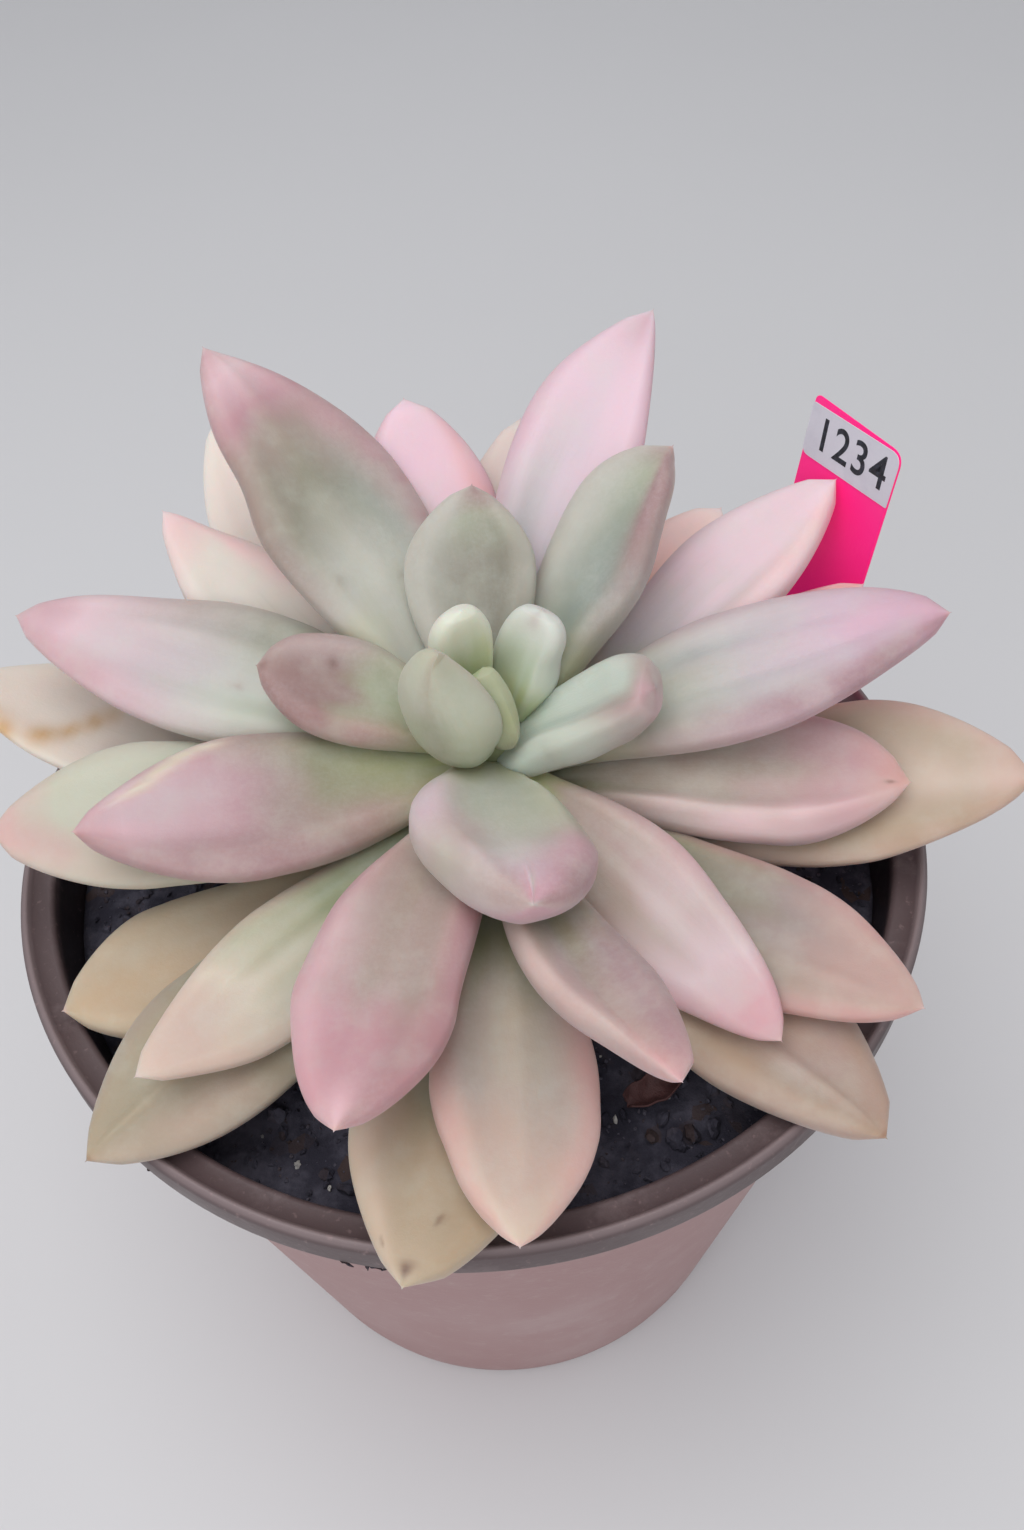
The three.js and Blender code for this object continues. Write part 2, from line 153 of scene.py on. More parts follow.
floor = floor_sheet()
floor_finish, tree, shader = new_finish("floor_finish", 0.6)
cloud = cloudy(tree, places(tree), 3.0)
paler = tuple(c * FLOOR_CLOUDING for c in FLOOR_COLOUR[:3]) + (1,)
floor_colour = tint(tree, cloud, FLOOR_COLOUR, paler)
tree.links.new(floor_colour, shader.inputs["Base Color"])
floor.data.materials.append(floor_finish)

for name, spot, width, power, colour in LAMPS:
    lamp = bpy.data.lights.new(name, "AREA")
    lamp.shape = "DISK"
    lamp.size = width
    lamp.energy = power
    lamp.color = colour
    holder = bpy.data.objects.new(name, lamp)
    holder.location = spot
    holder.rotation_euler = (LAMPS_AIM - Vector(spot)).to_track_quat("-Z", "Y").to_euler()
    scene.collection.objects.link(holder)

sky = bpy.data.worlds.new("sky")
scene.world = sky
sky.use_nodes = True
sky.node_tree.nodes["Background"].inputs["Color"].default_value = SKY_COLOUR
sky.node_tree.nodes["Background"].inputs["Strength"].default_value = SKY_STRENGTH


# The pot: one thin moulding of brown plastic. It tapers to a base with six drain
# holes, and its rim is rolled outward with a raised line round the edge. It is scuffed and dusty.
_, POT_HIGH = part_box("pot")
RIM_RADIUS = POT_HIGH.x
POT_HEIGHT = POT_HIGH.z
BASE_RADIUS = 49.5 * MM
POT_WALL = 1.6 * MM
POT_FLOOR = 2.5 * MM
LIP_HEIGHT = 6 * MM
LIP_OVERHANG = 3.5 * MM
LEDGE_DROP = 1 * MM
CREST_INSIDE = 1.9 * MM
BASE_FLAT_RIM = 6 * MM
BASE_ROUNDING = 1.5 * MM
WALL_FOOT = 1.7 * MM
WALL_TOP_GAP = 1.3 * MM
LIP_ROOT_ROUNDING = 0.8 * MM
LIP_EDGE_ROUNDING = 0.9 * MM
SHOULDER_ROUNDING = 1.2 * MM
SHOULDER_DROP = 0.1 * MM
CREST_ROUNDING = 0.5 * MM
LEDGE_ROUNDING = 0.9 * MM
WALL_STEPS = 40
POT_AROUND = 224
DRAIN_HOLES = 6
DRAIN_RADIUS = 4 * MM
DRAIN_RING = 34 * MM
DRAIN_AROUND = 32
POT_BROWN = (0.100, 0.068, 0.070, 1)
# The rim's paler colour below serves both the scuffs and a painted highlight along the crest.
POT_RIM_SCUFF_AND_HIGHLIGHT = (0.210, 0.158, 0.160, 1)
POT_PINK = (0.36, 0.195, 0.190, 1)
POT_DUST = (0.44, 0.300, 0.295, 1)
# The inside colour below is painted shade, for the shadow inside the pot.
POT_INSIDE_SHADE = (0.022, 0.015, 0.018, 1)


def between(tree, value, low, high, to_low=0.0, to_high=1.0):
    """value's place between low and high, eased at both ends and held inside to_low and to_high."""
    inputs = {0: value, 1: low, 2: high, 3: to_low, 4: to_high}
    return put(tree, "ShaderNodeMapRange", inputs, interpolation_type="SMOOTHSTEP").outputs[0]


def work_out(tree, operation, a, b):
    """One sum on two values or sockets."""
    return put(tree, "ShaderNodeMath", {0: a, 1: b}, operation=operation).outputs[0]


def raise_bumps(tree, shader, height, depth):
    """Bumps of that depth in metres where height, from 0 to 1, is high."""
    bump = put(tree, "ShaderNodeBump", {"Height": height, "Distance": depth, "Strength": 1.0})
    tree.links.new(bump.outputs[0], shader.inputs["Normal"])


def wall_radius(height):
    """Outside of the pot's wall at a height above the floor."""
    top = RIM_RADIUS - LIP_OVERHANG
    return BASE_RADIUS + (top - BASE_RADIUS) * height / (POT_HEIGHT - LIP_HEIGHT)


def arc(centre, radius, start, end, steps):
    """Points on an arc in the (radius, height) plane, angles in degrees."""
    angles = [math.radians(start + (end - start) * i / steps) for i in range(steps + 1)]
    return [(centre[0] + radius * math.cos(a), centre[1] + radius * math.sin(a)) for a in angles]


def turned_skin(outline, around):
    """Vertices and faces of a closed skin turned from (radius, height) points, first and last on the axis."""
    rings = [(r, z) for r, z in outline if r > 1e-6]
    vertices = []
    for r, z in rings:
        for j in range(around):
            angle = 2 * math.pi * j / around
            vertices.append((r * math.cos(angle), r * math.sin(angle), z))
    faces = []
    for i in range(len(rings) - 1):
        for j in range(around):
            k = (j + 1) % around
            a = i * around
            faces.append((a + j, a + k, a + around + k, a + around + j))
    first = len(vertices)
    vertices.append((0, 0, outline[0][1]))
    vertices.append((0, 0, outline[-1][1]))
    last = (len(rings) - 1) * around
    for j in range(around):
        k = (j + 1) % around
        faces.append((first, k, j))
        faces.append((last + j, last + k, first + 1))
    return vertices, faces


def pot_outline():
    """The moulding's section: out along the base, up the outside, over the rim and down the inside."""
    lip_foot = POT_HEIGHT - LIP_HEIGHT
    ledge = POT_HEIGHT - LEDGE_DROP
    outline = [(0, 0), (BASE_RADIUS - BASE_FLAT_RIM, 0)]
    outline += arc((BASE_RADIUS - BASE_ROUNDING, BASE_ROUNDING), BASE_ROUNDING, -90, -8, 6)
    for i in range(1, WALL_STEPS):
        height = WALL_FOOT + (lip_foot - WALL_FOOT - WALL_TOP_GAP) * i / WALL_STEPS
        outline.append((wall_radius(height), height))
    lip_root = (wall_radius(lip_foot) + LIP_ROOT_ROUNDING, lip_foot - LIP_ROOT_ROUNDING)
    outline += arc(lip_root, LIP_ROOT_ROUNDING, 172, 90, 4)
    lip_edge = (RIM_RADIUS - LIP_EDGE_ROUNDING, lip_foot + LIP_EDGE_ROUNDING)
    outline += arc(lip_edge, LIP_EDGE_ROUNDING, -90, 0, 5)
    shoulder = (RIM_RADIUS - SHOULDER_ROUNDING, POT_HEIGHT - SHOULDER_ROUNDING - SHOULDER_DROP)
    outline += arc(shoulder, SHOULDER_ROUNDING, 0, 60, 5)
    crest = (RIM_RADIUS - CREST_INSIDE / 2, POT_HEIGHT - CREST_ROUNDING)
    outline += arc(crest, CREST_ROUNDING, 60, 150, 4)
    outline.append((RIM_RADIUS - CREST_INSIDE, ledge))
    inner_top = wall_radius(lip_foot) - POT_WALL
    outline += arc((inner_top + LEDGE_ROUNDING, ledge - LEDGE_ROUNDING), LEDGE_ROUNDING, 90, 180, 5)
    for i in range(1, WALL_STEPS + 1):
        height = lip_foot + (POT_FLOOR - lip_foot) * i / WALL_STEPS
        outline.append((wall_radius(height) - POT_WALL, height))
    outline.append((0, POT_FLOOR))
    return outline


def cut_drain_holes(pot):
    """Cuts the drain holes through the pot's floor."""
    for i in range(DRAIN_HOLES):
        angle = 2 * math.pi * i / DRAIN_HOLES
        spot = (DRAIN_RING * math.cos(angle), DRAIN_RING * math.sin(angle), POT_FLOOR / 2)
        outline = [(0, -POT_FLOOR), (DRAIN_RADIUS, -POT_FLOOR), (DRAIN_RADIUS, POT_FLOOR), (0, POT_FLOOR)]
        cutter = mesh_piece("cutter", *turned_skin(outline, DRAIN_AROUND))
        cutter.location = spot
        cut = pot.modifiers.new("drain", "BOOLEAN")
        cut.operation = "DIFFERENCE"
        cut.object = cutter
        bpy.context.view_layer.objects.active = pot
        bpy.ops.object.modifier_apply(modifier=cut.name)
        bpy.data.objects.remove(cutter)


def pot_finish():
    """Worn plastic: dark on the lip, painted shade inside, dusty pink on the wall, with scuffs on the rim and
    a painted highlight along its crest.
    """
    material, tree, shader = new_finish("pot_plastic", 0.5)
    where = places(tree)
    height = put(tree, "ShaderNodeSeparateXYZ", {0: where}).outputs[2]
    # The lip is dark brown, the inside is darkened as painted shade, and the outside wall below the lip is a
    # dusty pink.
    lip_foot = POT_HEIGHT - LIP_HEIGHT
    below_lip = between(tree, height, lip_foot - 1.5 * MM, lip_foot, 1.0, 0.0)
    outward = put(tree, "ShaderNodeAttribute", {}, attribute_name="outside").outputs["Fac"]
    pink_wall = work_out(tree, "MULTIPLY", below_lip, outward)
    blotches = cloudy(tree, where, 28.0, 5.0, 0.6)
    splashes = cloudy(tree, where, 240.0, 6.0, 0.75)
    broad_dust = between(tree, blotches, 0.40, 0.72)
    fine_dust = between(tree, splashes, 0.52, 0.72, 0.0, 0.5)
    wall = tint(tree, work_out(tree, "ADD", broad_dust, fine_dust), POT_PINK, POT_DUST)
    scuffs = between(tree, cloudy(tree, where, 95.0, 6.0, 0.7), 0.52, 0.70)
    # The scuffs are real wear, and the paler line along the rim's crest is a painted highlight.
    crest_highlight = between(tree, height, POT_HEIGHT - 0.9 * MM, POT_HEIGHT - 0.1 * MM)
    paler_marks = work_out(tree, "MAXIMUM", work_out(tree, "MULTIPLY", scuffs, 0.45), crest_highlight)
    # Below the ledge the inside is painted near-black as painted shade.
    below_ledge = between(tree, height, POT_HEIGHT - 4 * MM, POT_HEIGHT - 2 * MM, 1.0, 0.0)
    inside_shade = work_out(tree, "MULTIPLY", below_ledge, work_out(tree, "SUBTRACT", 1.0, outward))
    rim = tint(tree, inside_shade, tint(tree, paler_marks, POT_BROWN, POT_RIM_SCUFF_AND_HIGHLIGHT), POT_INSIDE_SHADE)
    colour = tint(tree, pink_wall, rim, wall)
    grain = cloudy(tree, where, 900.0, 3.0, 0.6)
    speckled = tint(tree, between(tree, grain, 0.60, 0.75, 0.0, 0.25), colour, POT_DUST)
    tree.links.new(speckled, shader.inputs["Base Color"])
    tree.links.new(between(tree, blotches, 0.3, 0.7, 0.38, 0.62), shader.inputs["Roughness"])
    raise_bumps(tree, shader, grain, 0.06 * MM)
    return material


pot = mesh_piece("pot_moulding", *turned_skin(pot_outline(), POT_AROUND))
cut_drain_holes(pot)
outside = pot.data.attributes.new("outside", "FLOAT", "POINT")
pot_points = np.array([v.co for v in pot.data.vertices])
pot_reach = np.hypot(pot_points[:, 0], pot_points[:, 1])
within_wall = wall_radius(pot_points[:, 2]) - 0.6 * POT_WALL
outside.data.foreach_set("value", (pot_reach > within_wall).astype(float))
pot.data.materials.append(pot_finish())
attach(pot, "root")
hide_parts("pot")


# The soil: near-black peat with crumbs of bark and a few pale grains of perlite, filled to a
# little below the rim and mounded round the stem. It is built as a rough bed with loose crumbs on it.
SOIL_LOW, SOIL_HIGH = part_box("soil")
SOIL_EDGE_DROP = 2 * MM
SOIL_UNDER_CRUMBS = 0.4 * MM
SOIL_LUMPS = ((14 * MM, 1.1 * MM), (5 * MM, 0.8 * MM), (1.8 * MM, 0.45 * MM))  # width and depth
SOIL_RINGS, SOIL_AROUND = 60, 150
SOIL_GAP = 0.2 * MM
SOIL_FOOT_GAP = 0.3 * MM
ROOM_FOR_STEM = 6.5 * MM
CRUMB_SMALLNESS = 1.8  # above 1, small lumps outnumber large ones
CRUMB_BREAKAGE = 0.30  # how far a lump's points are pushed in or out, as a share of its size
CRUMB_SEAT = 0.12  # a lump's middle stands this share of its size above the bed
SOIL_REACH = wall_radius(SOIL_HIGH.z - SOIL_EDGE_DROP) - POT_WALL - SOIL_GAP
PEAT = (0.042, 0.040, 0.058, 1)
PEAT_PALE = (0.120, 0.115, 0.150, 1)
BARK = (0.085, 0.050, 0.036, 1)
PERLITE = (0.62, 0.60, 0.57, 1)
STEM_LOW, STEM_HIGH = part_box("stem")
STEM_AXIS = Vector(((STEM_LOW.x + STEM_HIGH.x) / 2, (STEM_LOW.y + STEM_HIGH.y) / 2))
chance = np.random.default_rng(11)


def soil_height(x, y):
    """Height of the soil's bed, lumpy at three sizes."""
    reach = min(math.hypot(x, y) / SOIL_REACH, 1.0)
    height = SOIL_HIGH.z - SOIL_EDGE_DROP * reach**2 - SOIL_UNDER_CRUMBS
    for size, depth in SOIL_LUMPS:
        height += depth * noise.noise(Vector((x, y, size * 90)) / size)
    return height


def soil_bed():
    """The body of the soil: a lumpy top joined to a plain side and bottom."""
    foot = SOIL_LOW.z
    foot_radius = wall_radius(foot) - POT_WALL - SOIL_FOOT_GAP
    turns = [2 * math.pi * j / SOIL_AROUND for j in range(SOIL_AROUND)]
    vertices = [(0, 0, soil_height(0, 0))]
    for i in range(SOIL_RINGS):
        r = SOIL_REACH * (i + 1) / SOIL_RINGS
        for angle in turns:
            x, y = r * math.cos(angle), r * math.sin(angle)
            vertices.append((x, y, soil_height(x, y)))
    for angle in turns:
        vertices.append((foot_radius * math.cos(angle), foot_radius * math.sin(angle), foot))
    vertices.append((0, 0, foot))
    faces = []
    last = 1 + SOIL_RINGS * SOIL_AROUND
    for j in range(SOIL_AROUND):
        k = (j + 1) % SOIL_AROUND
        faces.append((0, 1 + j, 1 + k))
        for i in range(SOIL_RINGS):
            a = 1 + i * SOIL_AROUND
            faces.append((a + j, a + SOIL_AROUND + j, a + SOIL_AROUND + k, a + k))
        faces.append((last + j, last + SOIL_AROUND, last + k))
    return mesh_piece("soil_bed", vertices, faces)


def strew(name, count, smallest, largest, detail):
    """Loose broken lumps strewn over the soil, more small ones than large, as one mesh."""
    pattern = bmesh.new()
    bmesh.ops.create_icosphere(pattern, subdivisions=detail, radius=0.5)
    ball = np.array([v.co for v in pattern.verts])
    ball_faces = np.array([[v.index for v in f.verts] for f in pattern.faces])
    pattern.free()
    sizes = smallest * (largest / smallest) ** (chance.random(count) ** CRUMB_SMALLNESS)
    reach = (SOIL_REACH - sizes) * np.sqrt(chance.random(count))
    angle = chance.uniform(0, 2 * math.pi, count)
    x, y = reach * np.cos(angle), reach * np.sin(angle)
    clear = np.hypot(x - STEM_AXIS.x, y - STEM_AXIS.y) > ROOM_FOR_STEM
    sizes, x, y = sizes[clear], x[clear], y[clear]
    lumps = len(sizes)
    flattened = [np.ones(lumps), chance.uniform(0.5, 0.95, lumps), chance.uniform(0.4, 0.8, lumps)]
    squash = np.stack(flattened, 1)
    pushed = chance.uniform(-CRUMB_BREAKAGE, CRUMB_BREAKAGE, (lumps, len(ball), 1))
    broken = ball[None] * (1 + pushed) * squash[:, None]
    turns, _ = np.linalg.qr(chance.normal(size=(lumps, 3, 3)))
    z = np.array([soil_height(i, j) for i, j in zip(x, y)]) + CRUMB_SEAT * sizes
    points = np.einsum("nij,nvj->nvi", turns, broken * sizes[:, None, None])
    points += np.stack([x, y, z], 1)[:, None]
    flipped = np.linalg.det(turns) < 0
    faces = np.repeat(ball_faces[None], lumps, 0) + (np.arange(lumps) * len(ball))[:, None, None]
    faces[flipped] = faces[flipped][:, :, ::-1]
    return mesh_piece(name, points.reshape(-1, 3), faces.reshape(-1, 3).tolist(), smooth=False)


def soil_finish(name, dark, pale, fleck, fleck_share):
    """Matt, lumpy earth of two tones, with flecks of a third colour."""
    material, tree, shader = new_finish(name, 0.92)
    where = places(tree)
    lumps = cloudy(tree, where, 160.0, 6.0, 0.65)
    colour = tint(tree, between(tree, lumps, 0.40, 0.72), dark, pale)
    cells = put(tree, "ShaderNodeTexVoronoi", {"Vector": where, "Scale": 420.0}).outputs["Color"]
    flecks = between(tree, cells, 1.0 - fleck_share, 1.0)
    tree.links.new(tint(tree, flecks, colour, fleck), shader.inputs["Base Color"])
    shader.inputs["Specular IOR Level"].default_value = 0.25
    raise_bumps(tree, shader, cloudy(tree, where, 700.0, 5.0, 0.7), 0.3 * MM)
    return material


soil = soil_bed()
soil.data.materials.append(soil_finish("peat", PEAT, PEAT_PALE, BARK, 0.25))
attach(soil, "root")
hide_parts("soil")
crumb_sets = [
    # name, how many, smallest, largest, level of faces, material
    ("soil_crumbs", 1500, 0.8 * MM, 3.4 * MM, 2, soil_finish("peat_crumb", PEAT, PEAT_PALE, BARK, 0.35)),
    ("soil_dust", 2600, 0.35 * MM, 0.9 * MM, 1, soil_finish("peat_dust", PEAT_PALE, BARK, PEAT_PALE, 0.3)),
    ("perlite_grains", 60, 0.5 * MM, 1.5 * MM, 2, soil_finish("perlite", PERLITE, PEAT_PALE, PERLITE, 0.5)),
]
for name, count, smallest, largest, faces_level, material in crumb_sets:
    grains = strew(name, count, smallest, largest, faces_level)
    grains.data.materials.append(material)
    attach(grains, "root")


# The dirt on the rim: six short fibres of peat that stick to the lip at the front and hang
# below its edge, as watering leaves them. They are bent threads, thicker where they stick.
RIM_FIBRES = [
    # direction in degrees, length in mm, share of the full sideways bend
    (-105.4, 3.2, 0.5), (-105.0, 2.0, -0.6), (-102.9, 3.4, -0.2), (-102.5, 2.2, 0.7), (-100.9, 2.6, -0.5),
    (-130.1, 1.8, 0.4),
]
FIBRE_RADIUS = 0.24 * MM
FIBRE_INSET = 0.2 * MM
FIBRE_ON_LIP = 0.6 * MM
FIBRE_HANG_IN = 0.5 * MM
FIBRE_BEND = 1.6 * MM
FIBRE_STEPS, FIBRE_SIDES = 9, 6


def rim_fibres():
    """Bent threads that hang below the lip, thinner toward their ends."""
    vertices, faces = [], []
    for direction, length, bend in RIM_FIBRES:
        a = math.radians(direction)
        outward, sideways = Vector((math.cos(a), math.sin(a), 0)), Vector((-math.sin(a), math.cos(a), 0))
        start = len(vertices)
        for i in range(FIBRE_STEPS):
            t = i / (FIBRE_STEPS - 1)
            middle = outward * (RIM_RADIUS - FIBRE_INSET - FIBRE_HANG_IN * t)
            middle += sideways * FIBRE_BEND * bend * t * t
            middle.z = POT_HEIGHT - LIP_HEIGHT + FIBRE_ON_LIP - t * length * MM
            thick = FIBRE_RADIUS * (1.2 - 0.8 * t) * (1 + 0.3 * math.sin(9 * t + direction))
            for j in range(FIBRE_SIDES):
                b = j / FIBRE_SIDES * 2 * math.pi
                vertices.append(middle + (outward * math.cos(b) + sideways * math.sin(b)) * thick)
        for i in range(FIBRE_STEPS - 1):
            ring = start + i * FIBRE_SIDES
            for j in range(FIBRE_SIDES):
                k = (j + 1) % FIBRE_SIDES
                faces.append((ring + j, ring + k, ring + FIBRE_SIDES + k, ring + FIBRE_SIDES + j))
        faces.append(tuple(range(start, start + FIBRE_SIDES)))
        faces.append(tuple(range(len(vertices) - FIBRE_SIDES, len(vertices))))
    return mesh_piece("rim_fibres", vertices, faces)


fibres = rim_fibres()
fibres.data.materials.append(soil_finish("rim_dirt", PEAT, BARK, PEAT_PALE, 0.0))
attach(fibres, "root")


# The stem: a short fleshy column, pale green at the top and corky below, ringed with the
# scars that fallen leaves have left. Every leaf grows from it.
STEM_OUTLINE = [  # height and radius in mm
    (88, 5.7), (108, 6.0), (120, 5.4), (130, 4.6), (138, 3.2), (140, 2.6), (140.6, 1.3),
]
SCAR_SPACING = 2.2 * MM
SCAR_HEIGHT = 0.12 * MM
STEM_STEPS = 90
STEM_AROUND = 40
STEM_GREEN = (0.33, 0.37, 0.20, 1)
STEM_CORK = (0.20, 0.15, 0.10, 1)


def stem_column():
    """A column with a low ring for each old leaf scar."""
    low, high = STEM_LOW.z, STEM_HIGH.z
    heights = [z * MM for z, _ in STEM_OUTLINE]
    radii = [r * MM for _, r in STEM_OUTLINE]
    outline = [(0, low)]
    for i in range(STEM_STEPS):
        z = low + (high - low) * (i + 0.5) / STEM_STEPS
        ridge = SCAR_HEIGHT * math.sin(2 * math.pi * (z - low) / SCAR_SPACING)
        outline.append((float(np.interp(z, heights, radii)) + ridge, z))
    outline.append((0, high))
    vertices, faces = turned_skin(outline, STEM_AROUND)
    shifted = [(x + STEM_AXIS.x, y + STEM_AXIS.y, z) for x, y, z in vertices]
    return mesh_piece("stem_column", shifted, faces)


stem = stem_column()
stem_finish, tree, shader = new_finish("stem_skin", 0.6)
where = places(tree)
height = put(tree, "ShaderNodeSeparateXYZ", {0: where}).outputs[2]
corky = between(tree, height, POT_HEIGHT - 8 * MM, POT_HEIGHT + 6 * MM, 1.0, 0.0)
patchy = work_out(tree, "MULTIPLY", corky, cloudy(tree, where, 300.0, 4.0))
tree.links.new(tint(tree, patchy, STEM_GREEN, STEM_CORK), shader.inputs["Base Color"])
raise_bumps(tree, shader, cloudy(tree, where, 900.0, 4.0), 0.2 * MM)
stem.data.materials.append(stem_finish)
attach(stem, "root")
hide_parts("stem")


# The leaves: thick, smooth and full of water, each grown in one piece from the stem. A powdery
# bloom covers a pale green flesh that turns rose toward the tip and the margins. The lowest ones
# are old, and fade to peach and tan. Each follows the rings of its own CAD skin.
RING_POINTS = 10
RING_SLANT = math.radians(72)
ACROSS_POINTS = 64
ALONG_POINTS = 76
EDGE_CROWDING = 0.25
TIP_CROWDING = 1.5
UPPER_SHARE = 0.4
LEVEL_HOLLOW = 0.35
SECTION_FULLNESS = 0.72
RIM_AT, RIM_WIDTH = 0.74, 0.20
KEEL_WIDTH = 0.22
ROOT_ROUNDING = 0.16
TIP_FULLNESS = 1.1
TIP_THORN = 0.25 * MM
TIP_RADIUS = 0.35 * MM
TIP_SWELL = (1.0, 0.15, 0.8)  # where along the leaf, length, and height in mm
WAVES = ((26 * MM, 0.9 * MM), (11 * MM, 0.32 * MM), (4 * MM, 0.07 * MM))  # width and height

# The lime is painted light: it brightens the leaves' roots, where they meet in shaded crevices, to a glow
# that stands in for light shining through the flesh.
LIME_GLOW = (0.74, 0.82, 0.46)
SPRING = (0.49, 0.55, 0.29)
MINT = (0.47, 0.54, 0.38)
FROST = (0.63, 0.66, 0.58)
SAGE = (0.34, 0.36, 0.22)
OLIVE = (0.28, 0.28, 0.13)
TEAL = (0.35, 0.43, 0.37)
SHADE = (0.36, 0.36, 0.28)
DUSK = (0.47, 0.39, 0.34)
MAUVE = (0.40, 0.26, 0.26)
LILAC = (0.67, 0.58, 0.60)
ROSE = (0.62, 0.38, 0.42)
BLUSH = (0.82, 0.60, 0.65)
CORAL = (0.78, 0.44, 0.41)
PEACH = (0.66, 0.48, 0.40)
CREAM = (0.72, 0.61, 0.49)
SAND = (0.52, 0.44, 0.31)
TAN = (0.42, 0.33, 0.20)
AMBER = (0.55, 0.33, 0.14)
STRAW = (0.82, 0.76, 0.60)
BROWN = (0.15, 0.06, 0.03)
BLOOM_WHITE = (0.78, 0.76, 0.77, 1)
SCAR_BROWN = (0.26, 0.17, 0.11, 1)


def leaf_rings(node):
    """The rings of points that a leaf's CAD skin is drawn through, root first, and its tip."""
    skin = bmesh.new()
    skin.from_mesh(node.data)
    bmesh.ops.remove_doubles(skin, verts=skin.verts, dist=1e-6)

    def neighbours(v):
        return [e.other_vert(v) for e in v.link_edges]

    def off_its_ring(v):
        ring = neighbours(v)
        return (v.co - sum((n.co for n in ring), Vector()) / len(ring)).length

    ends = [v for v in skin.verts if len(v.link_edges) == RING_POINTS]
    root = min(ends, key=off_its_ring)
    tip = max(ends, key=off_its_ring)
    seen = {root}
    ring = neighbours(root)
    rings = []
    while tip not in ring:
        rings.append(np.array([v.co for v in ring]))
        seen.update(ring)
        ring = list({n for v in ring for n in neighbours(v)} - seen)
    end = np.array(tip.co)
    skin.free()
    return rings, end


def unit(v):
    """Each row of v at length 1."""
    return v / np.linalg.norm(v, axis=-1, keepdims=True)


def leaf_sections(node):
    """A leaf's sections, one row each: place, side, upward direction, half width, thickness, hollow.
    The second result is each section's share of the leaf's length."""
    rings, tip = leaf_rings(node)
    middles = [ring.mean(0) for ring in rings] + [tip]
    from_stem = middles[0][:2] - np.array(STEM_AXIS)
    side = unit(np.array([-from_stem[1], from_stem[0], 0.0]))
    slant = math.sin(RING_SLANT)
    rows = []
    for i, ring in enumerate(rings):
        forward = unit(middles[i + 1] - middles[i])
        side = unit(side - forward * (side @ forward))
        offsets = ring - middles[i]
        turn = np.arctan2(offsets @ np.cross(forward, side), offsets @ side)
        ordered = ring[np.argsort(turn % (2 * math.pi))]
        ordered = np.roll(ordered, -int(np.argmax((ordered - middles[i]) @ side)), axis=0)
        half = np.linalg.norm(ordered[0] - ordered[5]) / 2
        side = unit(ordered[0] - ordered[5])
        above = (ordered[2] + ordered[3]) / 2
        below = (ordered[7] + ordered[8]) / 2
        normal = unit(above - below)
        thick = np.linalg.norm(above - below) / slant
        edges = (ordered[0] + ordered[5]) / 2
        hollow = ((edges - above) @ normal + UPPER_SHARE * thick * slant) / slant**2
        spot = edges - normal * hollow * (1 - LEVEL_HOLLOW)
        rows.append(np.concatenate([spot, side, normal, [half, thick, hollow]]))
    rows.append(np.concatenate([tip, rows[-1][3:9], np.zeros(3)]))
    rows = np.array(rows)
    steps = np.linalg.norm(np.diff(rows[:, :3], axis=0), axis=1)
    along = np.concatenate([[0.0], np.cumsum(steps)])
    return rows, along / along[-1]


def eased(shares, rows, t):
    """Rows read at each t along a smooth curve through every row."""
    slopes = np.gradient(rows, shares, axis=0)
    i = np.clip(np.searchsorted(shares, t) - 1, 0, len(shares) - 2)
    gap = (shares[i + 1] - shares[i])[:, None]
    s = (t[:, None] - shares[i][:, None]) / gap
    start = (1 + 2 * s) * (1 - s) ** 2 * rows[i] + s * (1 - s) ** 2 * gap * slopes[i]
    return start + s * s * (3 - 2 * s) * rows[i + 1] + s * s * (s - 1) * gap * slopes[i + 1]


def eased_step(x, low, high):
    """0 below low, 1 above high, and smooth between them."""
    s = np.clip((x - low) / (high - low), 0, 1)
    return s * s * (3 - 2 * s)


def lumpy(points, size, seed=0.0):
    """Soft lumps from -1 to 1 at each point, as wide as size."""
    return np.array([noise.noise(Vector((x, y, z + seed)) / size) for x, y, z in points])


def hump(x, middle, width):
    """A smooth hump of height 1 round middle."""
    return np.exp(-(((x - middle) / width) ** 2))


def leaf_spine(rows, read, look, t):
    """The blade's middle line, its sideways and upward directions, and the point at its tip."""
    side, normal = unit(read[:, 3:6]), unit(read[:, 6:9])
    forward = unit(rows[-1][:3] - rows[-3][:3])
    backward = unit(rows[0][:3] - rows[2][:3])
    reach, sway, longer = (look[key] * MM for key in ("reach", "sway", "longer"))
    t = t[:, None]
    drawn_out = forward * reach * t**4 + side * sway * t**3 + backward * longer * (1 - t) ** 4
    thorn = rows[-1][:3] + forward * (reach + TIP_THORN) + side[-1] * sway
    return read[:, :3] + drawn_out, side, normal, thorn


def leaf_half_width(read, look, t, edge):
    """From the middle line to one edge, 1 or -1: the CAD skin's, swollen or pinched, and full at the tip."""
    least = TIP_RADIUS * (1 - t) ** 0.3
    round_root = np.sqrt(1 - (1 - np.clip(t / ROOT_ROUNDING, 0.04, 1)) ** 2)
    root_half = look["root"] * read[:, 9].max() * round_root
    half = read[:, 9] + np.maximum(root_half - read[:, 9], 0) * (1 - eased_step(t, 0.1, 0.5))
    swells = [swell[1:] for swell in look["swells"] if swell[0] == edge] + [TIP_SWELL]
    out = sum(height * MM * hump(t, along, length) for along, length, height in swells)
    inside_ends = np.clip(np.minimum(t / 0.03, (1 - t) / 0.04), 0, 1)
    return np.maximum(half + out * inside_ends, least)


def leaf_thickness(read, look, t, half):
    """The CAD skin's thickness made plumper, and kept full until close to the tip."""
    thick = read[:, 10] * (1 + look["plump"])
    fullest = ((TIP_FULLNESS * half) ** -4 + (look["tip_share"] * thick.max()) ** -4) ** -0.25
    return (thick**4 + (fullest * eased_step(t, 0.4, 0.75)) ** 4) ** 0.25


